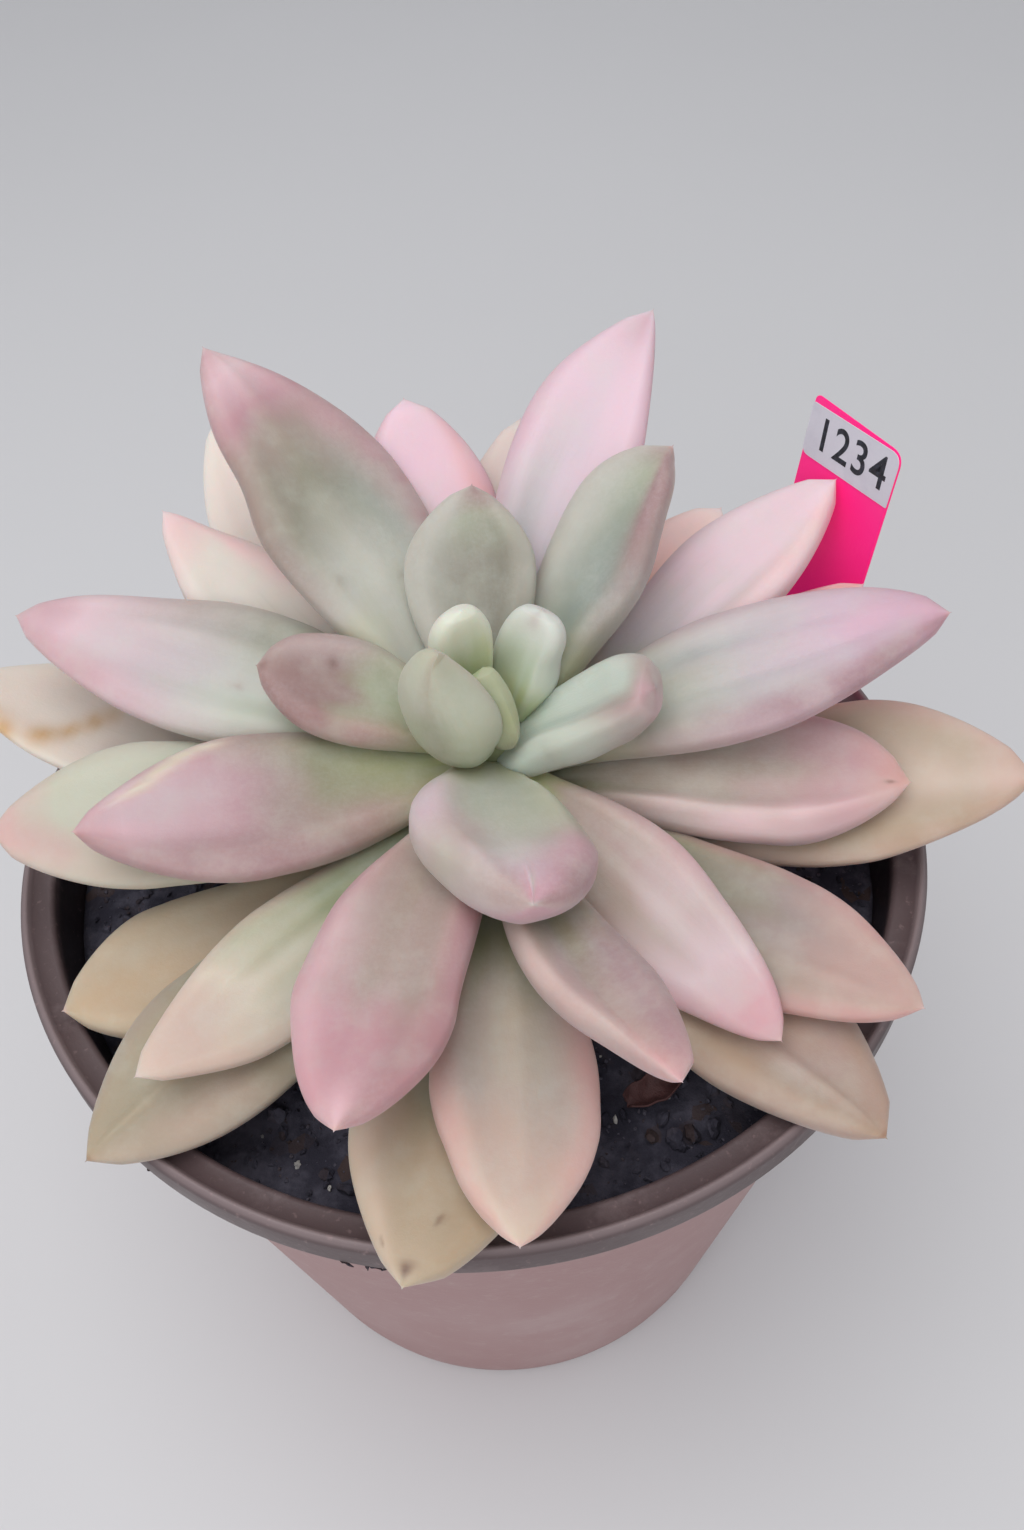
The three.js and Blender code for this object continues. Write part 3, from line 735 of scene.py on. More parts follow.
def leaf_relief(look, t, u, lift, thick, hollow):
    """How high the skin stands over the blade's middle: a full section with a rim, a keel and folds."""
    share = np.where(lift > 0, UPPER_SHARE, 1 - UPPER_SHARE)
    full = np.sign(lift) * np.abs(lift) ** SECTION_FULLNESS
    body = eased_step(t, 0.05, 0.25) * (1 - t**4)
    height = hollow * (u * u - LEVEL_HOLLOW) + thick * share * full
    height += look["rim"] * thick * hump(np.abs(u), RIM_AT, RIM_WIDTH) * body * np.clip(lift, 0, 1)
    height -= look["keel"] * thick * hump(u, 0.0, KEEL_WIDTH) * body * (lift < 0)
    for from_u, to_u, width, depth, start, end in look["folds"]:
        line = from_u + (to_u - from_u) * t
        run = eased_step(t, start, start + 0.12) * (1 - eased_step(t, end - 0.15, end))
        height += depth * MM * hump(u, line, width) * run * (lift > 0)
    return height, body


def tube_faces(rings, around):
    """Faces of a tube of rings, closed by one point at each end, which come after the rings' points."""
    faces = []
    for i in range(rings - 1):
        for j in range(around):
            a, b = i * around + j, i * around + (j + 1) % around
            faces.append((a, b, b + around, a + around))
    last = (rings - 1) * around
    root_middle = last + around
    for j in range(around):
        k = (j + 1) % around
        faces.append((root_middle, k, j))
        faces.append((last + j, last + k, root_middle + 1))
    return faces


def leaf_blade(name, look):
    """A leaf's skin, with each point's place along the leaf, across it and round to its upper face."""
    rows, shares = leaf_sections(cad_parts[name])
    t = 1 - (1 - np.arange(ALONG_POINTS) / ALONG_POINTS) ** TIP_CROWDING
    read = eased(shares, rows, t)
    spine, side, normal, thorn = leaf_spine(rows, read, look, t)
    plus_half, minus_half = (leaf_half_width(read, look, t, edge) for edge in (1, -1))
    thick = leaf_thickness(read, look, t, (plus_half + minus_half) / 2)
    hollow = read[:, 11] * (1 - t**6)
    angle = np.arange(ACROSS_POINTS) / ACROSS_POINTS * 2 * math.pi
    angle = angle + EDGE_CROWDING * np.sin(2 * angle)
    size = (ALONG_POINTS, ACROSS_POINTS)
    along = np.broadcast_to(t[:, None], size)
    across, upper = np.broadcast_to(np.cos(angle), size), np.broadcast_to(np.sin(angle), size)
    height, body = leaf_relief(look, along, across, upper, thick[:, None], hollow[:, None])
    outward = across * np.where(across > 0, plus_half[:, None], minus_half[:, None])
    points = spine[:, None] + side[:, None] * outward[..., None] + normal[:, None] * height[..., None]
    flat = points.reshape(-1, 3)
    wave = sum(lumpy(flat, width) * depth for width, depth in WAVES).reshape(size)
    wave = wave * (1 - along**3) * body * look["wave"]
    points = points + normal[:, None] * wave[..., None]
    vertices = np.concatenate([points.reshape(-1, 3), points[0].mean(0)[None], thorn[None]])
    leaf = mesh_piece(name + "_flesh", vertices, tube_faces(ALONG_POINTS, ACROSS_POINTS))
    for label, values, ends in (("along", along, (0.0, 1.0)), ("across", across, (0.0, 0.0)),
                                ("upper", upper, (0.0, 0.0))):
        kept = leaf.data.attributes.new(label, "FLOAT", "POINT")
        kept.data.foreach_set("value", np.concatenate([values.ravel(), ends]))
    return leaf


def colour_leaf(leaf, look, seed):
    """Lays down the leaf's own colours: a run from root to tip, streaks, a margin, and its patches."""
    mesh = leaf.data
    count = len(mesh.vertices)

    def kept(label):
        values = np.zeros(count)
        mesh.attributes[label].data.foreach_get("value", values)
        return values

    def lay(share, colour):
        nonlocal colours
        share = np.clip(share, 0, 1)[:, None]
        colours = colours * (1 - share) + np.array(colour) * share

    along, across, upper = kept("along"), kept("across"), kept("upper")
    points = np.array([v.co for v in mesh.vertices])
    drift = lumpy(points, 14 * MM)
    ripple = lumpy(points, 5 * MM, 1.0)
    # Variegation runs in long sectors: lumps stretched from root to tip that fade before the tip.
    sector = lumpy(np.stack([across * 0.9, along * 0.35, upper * 0.1 + seed], 1), 0.32)
    sector *= 1 - eased_step(along, 0.6, 0.95)
    at = along + 0.09 * drift + 0.03 * ripple + 0.10 * sector
    stops = [stop for stop, _ in look["run"]]
    run = np.array([colour for _, colour in look["run"]])
    colours = np.stack([np.interp(at, stops, run[:, c]) for c in range(3)], axis=1)
    lay(0.30 * eased_step(sector, 0.15, 0.45) * (1 - along), FROST)
    lay(0.22 * eased_step(-sector, 0.15, 0.45) * (1 - along), SAGE)
    edge = eased_step(np.abs(across) + 0.12 * drift, look["margin"][2], 1.0)
    lay(edge * eased_step(along, 0.10, 0.45) * look["margin"][1], look["margin"][0])
    seen_side = upper * look["seen"]
    for spot_along, spot_across, size_along, size_across, colour, strength in look["patches"]:
        share = strength * hump(along + 0.04 * drift, spot_along, size_along)
        share = share * hump(across + 0.15 * drift, spot_across, size_across)
        lay(share * (1 + 0.4 * ripple) * eased_step(seen_side, -0.5, 0.1), colour)
    lay(0.35 * eased_step(-seen_side, 0.0, 0.7), LILAC)
    lay(0.7 * eased_step(along, 0.985, 1.0), look["tip"])
    # The tone scales each leaf's colours: besides the leaf's own tone it is painted light and shade,
    # lightening leaves that lie in shade and darkening ones that face the lamp.
    colours = np.clip(colours * np.array(look["tone_and_light"]), 0, 0.9)
    flesh = mesh.attributes.new("flesh", "FLOAT_COLOR", "POINT")
    flesh.data.foreach_set("color", np.concatenate([colours, np.ones((count, 1))], axis=1).ravel())


def leaf_finish(name, bloom_share, gloss, green_veins):
    """Fleshy leaf skin: streaked flesh, powdery bloom rubbed off in places, and a few pin-prick scars."""
    material, tree, shader = new_finish(name, 0.5)
    where = places(tree)
    flesh = put(tree, "ShaderNodeAttribute", {}, attribute_name="flesh").outputs["Color"]
    along = put(tree, "ShaderNodeAttribute", {}, attribute_name="along").outputs["Fac"]
    across = put(tree, "ShaderNodeAttribute", {}, attribute_name="across").outputs["Fac"]
    # Streaks run the length of the leaf: the noise is stretched along it.
    stretched = put(tree, "ShaderNodeCombineXYZ", {0: along, 1: work_out(tree, "MULTIPLY", across, 5.0)})
    mixed = put(tree, "ShaderNodeVectorMath", {0: where, 1: (60.0, 60.0, 60.0)}, operation="MULTIPLY")
    moved = put(tree, "ShaderNodeVectorMath", {0: mixed.outputs[0], 1: stretched.outputs[0]}, operation="ADD")
    short_of_tip = between(tree, along, 0.65, 0.92, 1.0, 0.0)
    streaks = work_out(tree, "MULTIPLY", cloudy(tree, moved.outputs[0], 2.2, 4.0, 0.6), short_of_tip)
    veined = tint(tree, between(tree, streaks, 0.48, 0.75, 0.0, green_veins), flesh, SAGE + (1,))
    mottling = cloudy(tree, where, 150.0, 4.0, 0.6)
    mottled = tint(tree, between(tree, mottling, 0.40, 0.75, 0.0, 0.20), veined, FROST + (1,))
    powder = cloudy(tree, where, 1400.0, 3.0, 0.7)
    rubbed = between(tree, cloudy(tree, where, 45.0, 3.0), 0.38, 0.60)
    bloom = work_out(tree, "MULTIPLY", between(tree, powder, 0.30, 0.75, 0.4, 1.0), rubbed)
    bloomed = tint(tree, work_out(tree, "MULTIPLY", bloom, bloom_share), mottled, BLOOM_WHITE)
    pricks = put(tree, "ShaderNodeTexVoronoi", {"Vector": where, "Scale": 130.0})
    rare = between(tree, pricks.outputs["Color"], 0.95, 0.97)
    small = between(tree, pricks.outputs["Distance"], 0.03, 0.07, 0.5, 0.0)
    scarred = tint(tree, work_out(tree, "MULTIPLY", rare, small), bloomed, SCAR_BROWN)
    tree.links.new(scarred, shader.inputs["Base Color"])
    tree.links.new(between(tree, bloom, 0.0, 1.0, gloss, gloss + 0.16), shader.inputs["Roughness"])
    shader.inputs["Subsurface Weight"].default_value = 0.55
    shader.inputs["Subsurface Radius"].default_value = (1.0, 0.55, 0.40)
    shader.inputs["Subsurface Scale"].default_value = 6 * MM
    shader.inputs["Specular IOR Level"].default_value = 0.35
    shader.inputs["Sheen Weight"].default_value = 0.10
    shader.inputs["Sheen Roughness"].default_value = 0.5
    height = work_out(tree, "MULTIPLY", work_out(tree, "ADD", streaks, powder), 0.4)
    raise_bumps(tree, shader, height, 0.10 * MM)
    return material


YOUNG_SKIN = leaf_finish("young_leaf_skin", 0.16, 0.42, 0.04)
GROWN_SKIN = leaf_finish("grown_leaf_skin", 0.12, 0.42, 0.06)
OLD_SKIN = leaf_finish("old_leaf_skin", 0.05, 0.45, 0.08)


def leaf_look(skin, run, margin, patches=(), folds=(), swells=(), tip=CORAL, tone_and_light=(1, 1, 1), **shape):
    """One leaf's looks: its skin, its colours from root (0) to tip (1), its margin as colour, strength and
    start, patches as (along, across, size along, size across, colour, strength), folds as
    (across at root, across at tip, width, height in mm, start, end), and swells of its outline as
    (edge, along, length, height in mm). reach and sway move its tip outward and sideways, and longer its
    root, in mm. seen is 1 where the upper face shows, -1 where the lower one does, and 0 for both."""
    plain = {"rim": 0.12, "keel": 0.06, "plump": 0.5, "wave": 1.3, "seen": 1, "root": 0.0, "longer": 0.0,
             "tip_share": 0.6, "reach": 0.0, "sway": 0.0}
    return {"skin": skin, "run": run, "margin": margin, "patches": patches, "folds": folds, "swells": swells,
            "tip": tip, "tone_and_light": tone_and_light} | plain | shape


LEAF_LOOKS = {
    "bud_leaf_inner": leaf_look(
        YOUNG_SKIN, [(0, SAGE), (0.5, SPRING), (1, MINT)], (MINT, 0.3, 0.6),
        swells=[(-1, 0.5, 0.4, 3)],
        tip=MINT, plump=0.2, longer=-1.5, reach=0.3, sway=-0.6, tone_and_light=(0.75, 0.8, 0.65)),
    "bud_leaf_back": leaf_look(
        YOUNG_SKIN, [(0, SAGE), (0.5, SPRING), (1, FROST)], (FROST, 0.6, 0.5),
        swells=[(1, 1, 0.4, 1)],
        tip=FROST, plump=0.2, reach=-0.5, tone_and_light=(1.1, 1.1, 1.05)),
    "bud_leaf_front": leaf_look(
        YOUNG_SKIN, [(0, LIME_GLOW), (0.15, MINT), (0.3, MINT), (0.6, FROST), (0.9, FROST), (1, DUSK)],
        (FROST, 0.5, 0.6),
        patches=[(0.9, 0.0, 0.2, 0.3, DUSK, 0.7), (0.4, 0.1, 0.35, 0.4, SHADE, 0.6),
                 (0.75, -0.7, 0.3, 0.3, FROST, 0.9)],
        swells=[(1, 0.8, 0.3, -3), (-1, 0.9, 0.4, 0.5)],
        tip=DUSK, seen=-1, keel=0.0, plump=0.1, root=0.7, longer=-1.6, tip_share=0.8,
        tone_and_light=(0.75, 0.75, 0.65)),
    "bud_leaf_right": leaf_look(
        YOUNG_SKIN, [(0, SPRING), (0.3, SPRING), (0.5, MINT), (1, FROST)], (FROST, 0.5, 0.5),
        patches=[(0.4, 0.4, 0.3, 0.4, SAGE, 0.6), (0.93, 0.0, 0.07, 0.3, DUSK, 0.5)],
        swells=[(1, 0.2, 0.3, 0.5), (1, 1, 0.15, 1), (-1, 0.6, 0.2, -1.5), (-1, 1, 0.15, 1)],
        tip=DUSK, rim=0.05, plump=0.3, reach=0.4, sway=0.3, tone_and_light=(1, 1, 1.05)),
    "young_leaf_right": leaf_look(
        YOUNG_SKIN, [(0, FROST), (0.5, FROST), (0.8, FROST), (0.93, DUSK), (1, MAUVE)], (FROST, 0.4, 0.6),
        patches=[(0.1, 0.0, 0.2, 0.9, FROST, 1.0), (0.5, -0.25, 0.3, 0.15, TEAL, 0.6),
                 # The dusk patch at across -0.55 toward the tip is painted shade on the leaf's darker side.
                 (0.8, -0.55, 0.22, 0.4, DUSK, 1.0), (0.9, -0.9, 0.2, 0.3, MAUVE, 0.7),
                 (0.9, 0.9, 0.12, 0.4, MAUVE, 0.5), (0.96, -0.3, 0.06, 0.7, ROSE, 0.8)],
        swells=[(1, 1, 0.15, 2.5), (-1, 0.7, 0.3, -2), (-1, 1, 0.1, 2)],
        tip=MAUVE, seen=0, plump=0.2, root=0.75, longer=4.0, tip_share=0.8, sway=-0.6,
        tone_and_light=(0.9, 0.95, 0.95)),
    "young_leaf_back": leaf_look(
        YOUNG_SKIN, [(0, LIME_GLOW), (0.2, SPRING), (0.4, SHADE), (0.65, SHADE), (0.85, MINT), (1, MAUVE)],
        (FROST, 0.8, 0.4),
        # The frost patches at across 0.7 and 0.9 are painted light on the leaf's left side.
        patches=[(0.95, -0.6, 0.12, 0.5, MAUVE, 0.4), (0.85, 0.7, 0.3, 0.5, FROST, 1.0),
                 (0.45, 0.9, 0.4, 0.35, FROST, 1.2)],
        swells=[(1, 0.6, 0.4, 1)],
        tip=MAUVE, plump=0.3, tone_and_light=(0.75, 0.7, 0.7)),
    "young_leaf_left": leaf_look(
        YOUNG_SKIN, [(0, LIME_GLOW), (0.1, SPRING), (0.3, MINT), (0.5, MINT), (0.66, MAUVE), (1, MAUVE)],
        (MAUVE, 0.4, 0.6),
        patches=[(0.45, 0.8, 0.25, 0.3, ROSE, 0.7), (0.15, 0.6, 0.2, 0.4, SPRING, 0.7),
                 (0.75, -0.7, 0.25, 0.4, LILAC, 0.7), (0.9, 0.6, 0.2, 0.5, MAUVE, 0.7),
                 (0.68, -0.3, 0.02, 0.12, BROWN, 0.5), (0.98, 0.0, 0.03, 0.4, BROWN, 0.4)],
        swells=[(-1, 0.7, 0.15, -0.5), (-1, 0.9, 0.1, 0.5)],
        tip=MAUVE, plump=0.3, reach=-0.3, tone_and_light=(0.75, 0.7, 0.65)),
    "young_leaf_front": leaf_look(
        YOUNG_SKIN, [(0, LIME_GLOW), (0.1, SPRING), (0.25, MINT), (0.6, MINT), (0.85, LILAC), (1, ROSE)],
        (MINT, 0.5, 0.6),
        patches=[(0.41, -0.85, 0.2, 0.3, LILAC, 1.0), (0.6, -0.6, 0.12, 0.35, ROSE, 0.5),
                 # The dusk patch at across -0.7 near the tip is painted shade.
                 (0.7, -0.1, 0.12, 0.4, FROST, 0.6), (0.93, -0.7, 0.15, 0.5, DUSK, 0.9),
                 (0.8, 0.7, 0.18, 0.5, ROSE, 1.0), (0.9, 0.9, 0.2, 0.4, MAUVE, 0.9),
                 (0.35, 0.0, 0.2, 0.4, TEAL, 0.3), (0.17, 0.85, 0.02, 0.08, BROWN, 0.5),
                 (0.94, 0.1, 0.05, 0.05, FROST, 0.9)],
        folds=[(-0.25, -0.25, 0.22, -0.4, 0.2, 0.8), (0.1, 0.0, 0.04, 0.4, 0.8, 1.2)],
        swells=[(1, 0.4, 0.3, -2.5), (1, 1, 0.1, 1.5), (-1, 0.2, 0.3, 2), (-1, 0.8, 0.2, -3)],
        tip=FROST, plump=0.5, tip_share=0.9, reach=-2, tone_and_light=(0.9, 0.8, 0.85)),
    "young_leaf_back_right": leaf_look(
        YOUNG_SKIN, [(0, LIME_GLOW), (0.15, LIME_GLOW), (0.3, MINT), (0.55, TEAL), (0.85, MINT), (1, MAUVE)],
        (LILAC, 0.3, 0.6),
        # The frost patches at across 0.7 and 0.8 are painted light on the leaf's left side, and the mauve
        # patch at across -0.85 is the leaf's mauve colouring deepened as painted shade on its right side.
        patches=[(0.45, -0.1, 0.2, 0.3, TEAL, 0.8), (0.45, 0.8, 0.45, 0.5, FROST, 1.0),
                 (0.75, 0.7, 0.3, 0.5, FROST, 0.9), (0.85, -0.85, 0.3, 0.35, MAUVE, 1.3)],
        swells=[(1, 0.9, 0.2, 1.5), (-1, 0.3, 0.15, -1), (-1, 0.8, 0.15, -3), (-1, 1, 0.15, -1.5)],
        plump=0.3, tone_and_light=(0.8, 0.75, 0.75)),
    "mid_leaf_left_front": leaf_look(
        GROWN_SKIN, [(0, LIME_GLOW), (0.12, SPRING), (0.35, SAGE), (0.48, DUSK), (0.62, ROSE), (0.85, BLUSH),
            (1, ROSE)], (MAUVE, 0.5, 0.65),
        patches=[(0.5, 0.2, 0.12, 0.6, MAUVE, 0.4), (0.35, 0.7, 0.25, 0.4, ROSE, 0.5),
                 (0.8, -0.2, 0.2, 0.4, LILAC, 0.6), (0.8, 0.8, 0.35, 0.35, MAUVE, 0.8),
                 (0.84, -0.6, 0.05, 0.1, STRAW, 1.0), (0.78, -0.74, 0.05, 0.1, STRAW, 1.0),
                 (0.72, -0.86, 0.05, 0.1, STRAW, 1.0), (0.64, -0.93, 0.06, 0.1, STRAW, 1.0)],
        folds=[(-1.6, -0.4, 0.05, 0.4, 0.5, 0.98)],
        swells=[(1, 0.6, 0.3, -1)],
        sway=0.5, tone_and_light=(0.85, 0.8, 0.8)),
    "mid_leaf_front_right": leaf_look(
        GROWN_SKIN, [(0, LIME_GLOW), (0.1, SPRING), (0.2, DUSK), (0.5, DUSK), (0.72, LILAC), (0.88, ROSE),
            (1, ROSE)], (ROSE, 0.6, 0.6),
        patches=[(0.42, 0.3, 0.15, 0.15, MAUVE, 0.4), (0.6, 0.6, 0.2, 0.4, LILAC, 0.4)],
        folds=[(-0.6, -0.5, 0.15, 0.3, 0.3, 0.9)],
        swells=[(1, 0.7, 0.2, -3), (-1, 0.4, 0.2, 1), (-1, 0.8, 0.15, -1)],
        sway=-0.3, tone_and_light=(1.05, 0.95, 0.95)),
    "mid_leaf_back_left": leaf_look(
        GROWN_SKIN, [(0, LIME_GLOW), (0.2, LIME_GLOW), (0.35, FROST), (0.55, SHADE), (0.72, DUSK), (0.84, ROSE),
            (0.95, BLUSH), (1, ROSE)], (MAUVE, 0.4, 0.65),
        patches=[(0.48, -0.45, 0.18, 0.3, TEAL, 0.6), (0.62, -0.8, 0.3, 0.25, ROSE, 0.7),
                 (0.25, 0.0, 0.18, 0.8, FROST, 1.2), (0.41, 0.55, 0.01, 0.05, BROWN, 0.35),
                 (0.37, -0.2, 0.01, 0.05, BROWN, 0.3)],
        folds=[(0.1, 0.0, 0.2, 0.4, 0.3, 1.0)],
        swells=[(1, 0.7, 0.1, -2), (-1, 0.6, 0.4, 1), (-1, 1, 0.1, -1.5)],
        reach=0.7, tone_and_light=(0.85, 0.8, 0.8)),
    "mid_leaf_front_left": leaf_look(
        GROWN_SKIN, [(0, SAGE), (0.2, DUSK), (0.6, DUSK), (0.82, ROSE), (1, ROSE)], (ROSE, 0.9, 0.45),
        patches=[(0.65, -0.7, 0.25, 0.3, BLUSH, 0.7), (0.9, 0.7, 0.25, 0.35, MAUVE, 0.7),
                 (0.97, 0.0, 0.06, 0.4, BLUSH, 0.6)],
        swells=[(1, 0.6, 0.2, -1.5), (-1, 0.4, 0.15, 1.5), (-1, 0.8, 0.1, -1)],
        plump=0.8, reach=-0.7, sway=-0.4, tone_and_light=(0.9, 0.8, 0.8)),
    "mid_leaf_right": leaf_look(
        GROWN_SKIN, [(0, LIME_GLOW), (0.1, SPRING), (0.25, MINT), (0.55, FROST), (0.8, LILAC), (1, ROSE)],
        (ROSE, 0.4, 0.6),
        patches=[(0.4, 0.45, 0.25, 0.12, TEAL, 0.5), (0.55, -0.3, 0.3, 0.1, TEAL, 0.25),
                 (0.8, -0.85, 0.4, 0.28, MAUVE, 0.9), (0.85, 0.1, 0.2, 0.4, BLUSH, 0.6),
                 (0.35, -0.2, 0.15, 0.3, MINT, 0.6)],
        folds=[(0.35, 0.3, 0.12, -0.35, 0.15, 0.85), (-0.35, -0.25, 0.1, -0.2, 0.3, 0.9)],
        swells=[(1, 0.6, 0.2, -2), (1, 0.9, 0.15, 1), (-1, 0.2, 0.4, -1.5)],
        reach=-0.4, sway=-0.3, tone_and_light=(0.9, 0.8, 0.9)),
    "mid_leaf_left": leaf_look(
        GROWN_SKIN, [(0, LIME_GLOW), (0.1, SPRING), (0.3, MINT), (0.45, FROST), (0.65, LILAC), (0.85, BLUSH),
            (1, ROSE)], (ROSE, 0.3, 0.6),
        patches=[(0.42, -0.6, 0.26, 0.5, SHADE, 0.9), (0.65, -0.6, 0.12, 0.35, DUSK, 0.5),
                 (0.88, 0.8, 0.25, 0.35, ROSE, 0.8), (0.48, 0.25, 0.012, 0.05, DUSK, 0.7)],
        folds=[(-0.3, -0.3, 0.15, 0.5, 0.2, 0.8)],
        swells=[(1, 0.9, 0.2, 0.5), (-1, 0.3, 0.2, 1), (-1, 0.7, 0.15, -2.5)],
        sway=-1.2, tone_and_light=(0.9, 0.9, 0.9)),
    "low_leaf_front_narrow": leaf_look(
        GROWN_SKIN, [(0, SAGE), (0.4, SAGE), (0.6, DUSK), (0.85, PEACH), (1, CORAL)], (DUSK, 0.5, 0.5),
        patches=[(0.5, 0.1, 0.3, 0.3, OLIVE, 0.6), (0.62, -0.8, 0.3, 0.3, CREAM, 1.0),
                 (0.8, 0.6, 0.3, 0.4, MAUVE, 0.6)],
        folds=[(-0.1, -0.1, 0.25, -0.6, 0.2, 0.9)],
        swells=[(1, 0.8, 0.3, 1.5), (-1, 0.8, 0.2, -2.5)],
        reach=-0.3, sway=0.6, tone_and_light=(0.85, 0.75, 0.85)),
    "mid_leaf_back_right": leaf_look(
        GROWN_SKIN, [(0, MINT), (0.35, LILAC), (0.7, BLUSH), (1, BLUSH)], (ROSE, 0.5, 0.7),
        patches=[(0.35, 0.5, 0.3, 0.3, TEAL, 0.5), (0.97, 0.0, 0.08, 0.6, ROSE, 0.7),
                 (0.6, 0.2, 0.3, 0.3, LILAC, 0.5)],
        swells=[(1, 0.8, 0.15, 2), (-1, 0.7, 0.3, -1.5)],
        reach=0.7, tone_and_light=(0.95, 0.95, 1)),
    "low_leaf_left_front": leaf_look(
        GROWN_SKIN, [(0, SAGE), (0.5, SAGE), (0.75, CREAM), (0.9, PEACH), (1, PEACH)], (PEACH, 0.7, 0.6),
        patches=[(0.6, 0.7, 0.2, 0.3, DUSK, 0.5)],
        folds=[(-0.45, -0.3, 0.1, 0.25, 0.25, 0.85)],
        swells=[(1, 0.8, 0.1, 1)],
        tone_and_light=(0.95, 1, 1)),
    "low_leaf_right": leaf_look(
        GROWN_SKIN, [(0, OLIVE), (0.25, DUSK), (0.55, DUSK), (0.8, ROSE), (1, CORAL)], (BLUSH, 0.5, 0.75),
        patches=[(0.6, -0.75, 0.35, 0.2, BLUSH, 0.8), (0.6, 0.2, 0.3, 0.4, MAUVE, 0.25),
                 (0.94, -0.3, 0.015, 0.08, BROWN, 0.6)],
        folds=[(-0.7, -0.7, 0.15, 0.7, 0.2, 0.95)],
        swells=[(1, 0.9, 0.1, 1), (-1, 0.7, 0.4, -0.5)],
        plump=0.8, tip_share=0.8, tone_and_light=(0.9, 0.9, 0.85)),
    "low_leaf_back": leaf_look(
        GROWN_SKIN, [(0, LIME_GLOW), (0.1, SPRING), (0.4, CREAM), (0.7, BLUSH), (1, BLUSH)], (ROSE, 0.5, 0.6),
        patches=[(0.65, -0.8, 0.3, 0.25, CORAL, 0.7)],
        swells=[(1, 0.8, 0.4, 0.5), (-1, 0.9, 0.2, 1)],
        reach=-0.9, tone_and_light=(1, 0.95, 1)),
    "low_leaf_front": leaf_look(
        GROWN_SKIN, [(0, SAGE), (0.35, SAGE), (0.5, DUSK), (0.7, DUSK), (0.85, PEACH), (1, CREAM)],
        (CORAL, 0.5, 0.6),
        patches=[(0.65, 0.8, 0.3, 0.25, CORAL, 0.5), (0.6, 0.0, 0.25, 0.4, CREAM, 0.4),
                 (0.3, 0.0, 0.25, 0.5, OLIVE, 0.5)],
        folds=[(0.1, 0.05, 0.15, 0.3, 0.3, 0.95)],
        swells=[(1, 0.6, 0.15, 1.5), (1, 0.9, 0.1, -1.5), (-1, 0.7, 0.1, 1), (-1, 0.85, 0.15, -2.5)],
        plump=0.7, tip_share=0.8, sway=-0.3, tone_and_light=(0.9, 0.9, 0.9)),
    "low_leaf_right_back": leaf_look(
        GROWN_SKIN, [(0, LIME_GLOW), (0.1, SPRING), (0.4, LILAC), (0.7, BLUSH), (1, BLUSH)], (ROSE, 0.4, 0.7),
        patches=[(0.8, -0.8, 0.3, 0.25, CORAL, 0.5)],
        swells=[(1, 0.7, 0.3, 2), (-1, 0.6, 0.2, -1.5)],
        sway=0.5, tone_and_light=(1, 1.05, 1.05)),
    "low_leaf_left": leaf_look(
        OLD_SKIN, [(0, SAGE), (0.45, MINT), (0.7, CREAM), (0.85, CREAM), (1, CORAL)], (PEACH, 0.5, 0.65),
        patches=[(0.9, 0.6, 0.15, 0.4, CORAL, 0.5)],
        swells=[(1, 0.7, 0.2, -1), (1, 1, 0.15, 1)],
        tone_and_light=(0.8, 0.95, 0.95)),
    "low_leaf_right_front": leaf_look(
        OLD_SKIN, [(0, SAGE), (0.4, SAGE), (0.65, DUSK), (0.85, PEACH), (1, PEACH)], (CORAL, 0.5, 0.65),
        patches=[(0.6, -0.6, 0.3, 0.3, SAND, 0.6)],
        folds=[(-0.4, -0.3, 0.15, 0.4, 0.2, 0.95)],
        swells=[(1, 0.6, 0.1, 0.5), (1, 0.7, 0.4, -2.5), (1, 1, 0.1, 1), (-1, 0.8, 0.1, -1)],
        reach=-0.5, sway=0.3, tone_and_light=(0.8, 0.75, 0.8)),
    "low_leaf_back_inner": leaf_look(
        OLD_SKIN, [(0, SAGE), (0.6, CREAM), (1, CREAM)], (PEACH, 0.3, 0.6),
        swells=[(1, 0.8, 0.4, 0.5)],
        tone_and_light=(1, 1, 1.15)),
    "old_leaf_left_front": leaf_look(
        OLD_SKIN, [(0, SAGE), (0.5, SAGE), (0.75, SAND), (1, SAND)], (DUSK, 0.5, 0.65),
        patches=[(0.75, 0.6, 0.25, 0.4, PEACH, 0.5), (0.5, 0.0, 0.2, 0.3, MINT, 0.4)],
        folds=[(0.0, 0.0, 0.12, 0.5, 0.3, 1.0)],
        swells=[(1, 0.7, 0.15, -1), (-1, 0.7, 0.3, -1)],
        tip=BROWN, reach=-0.8, sway=-0.4, tone_and_light=(0.75, 0.75, 0.75)),
    "old_leaf_right": leaf_look(
        OLD_SKIN, [(0, SAGE), (0.4, SAND), (0.9, SAND), (1, PEACH)], (PEACH, 0.8, 0.6),
        patches=[(0.85, -0.8, 0.4, 0.35, TAN, 0.6), (0.85, 0.0, 0.2, 0.4, CREAM, 0.6)],
        folds=[(-0.3, -0.2, 0.2, -0.4, 0.2, 0.95)],
        swells=[(1, 1, 0.4, 1), (-1, 0.8, 0.15, -2)],
        tone_and_light=(0.95, 0.9, 0.95)),
    "low_leaf_left_back": leaf_look(
        OLD_SKIN, [(0, LIME_GLOW), (0.1, SPRING), (0.4, CREAM), (0.8, CREAM), (1, CORAL)], (PEACH, 0.5, 0.6),
        patches=[(0.8, -0.8, 0.3, 0.25, CORAL, 0.6)],
        swells=[(-1, 0.9, 0.1, -1)],
        reach=0.3, sway=0.4, tone_and_light=(1.1, 1.2, 1.35)),
    "low_leaf_back_right": leaf_look(
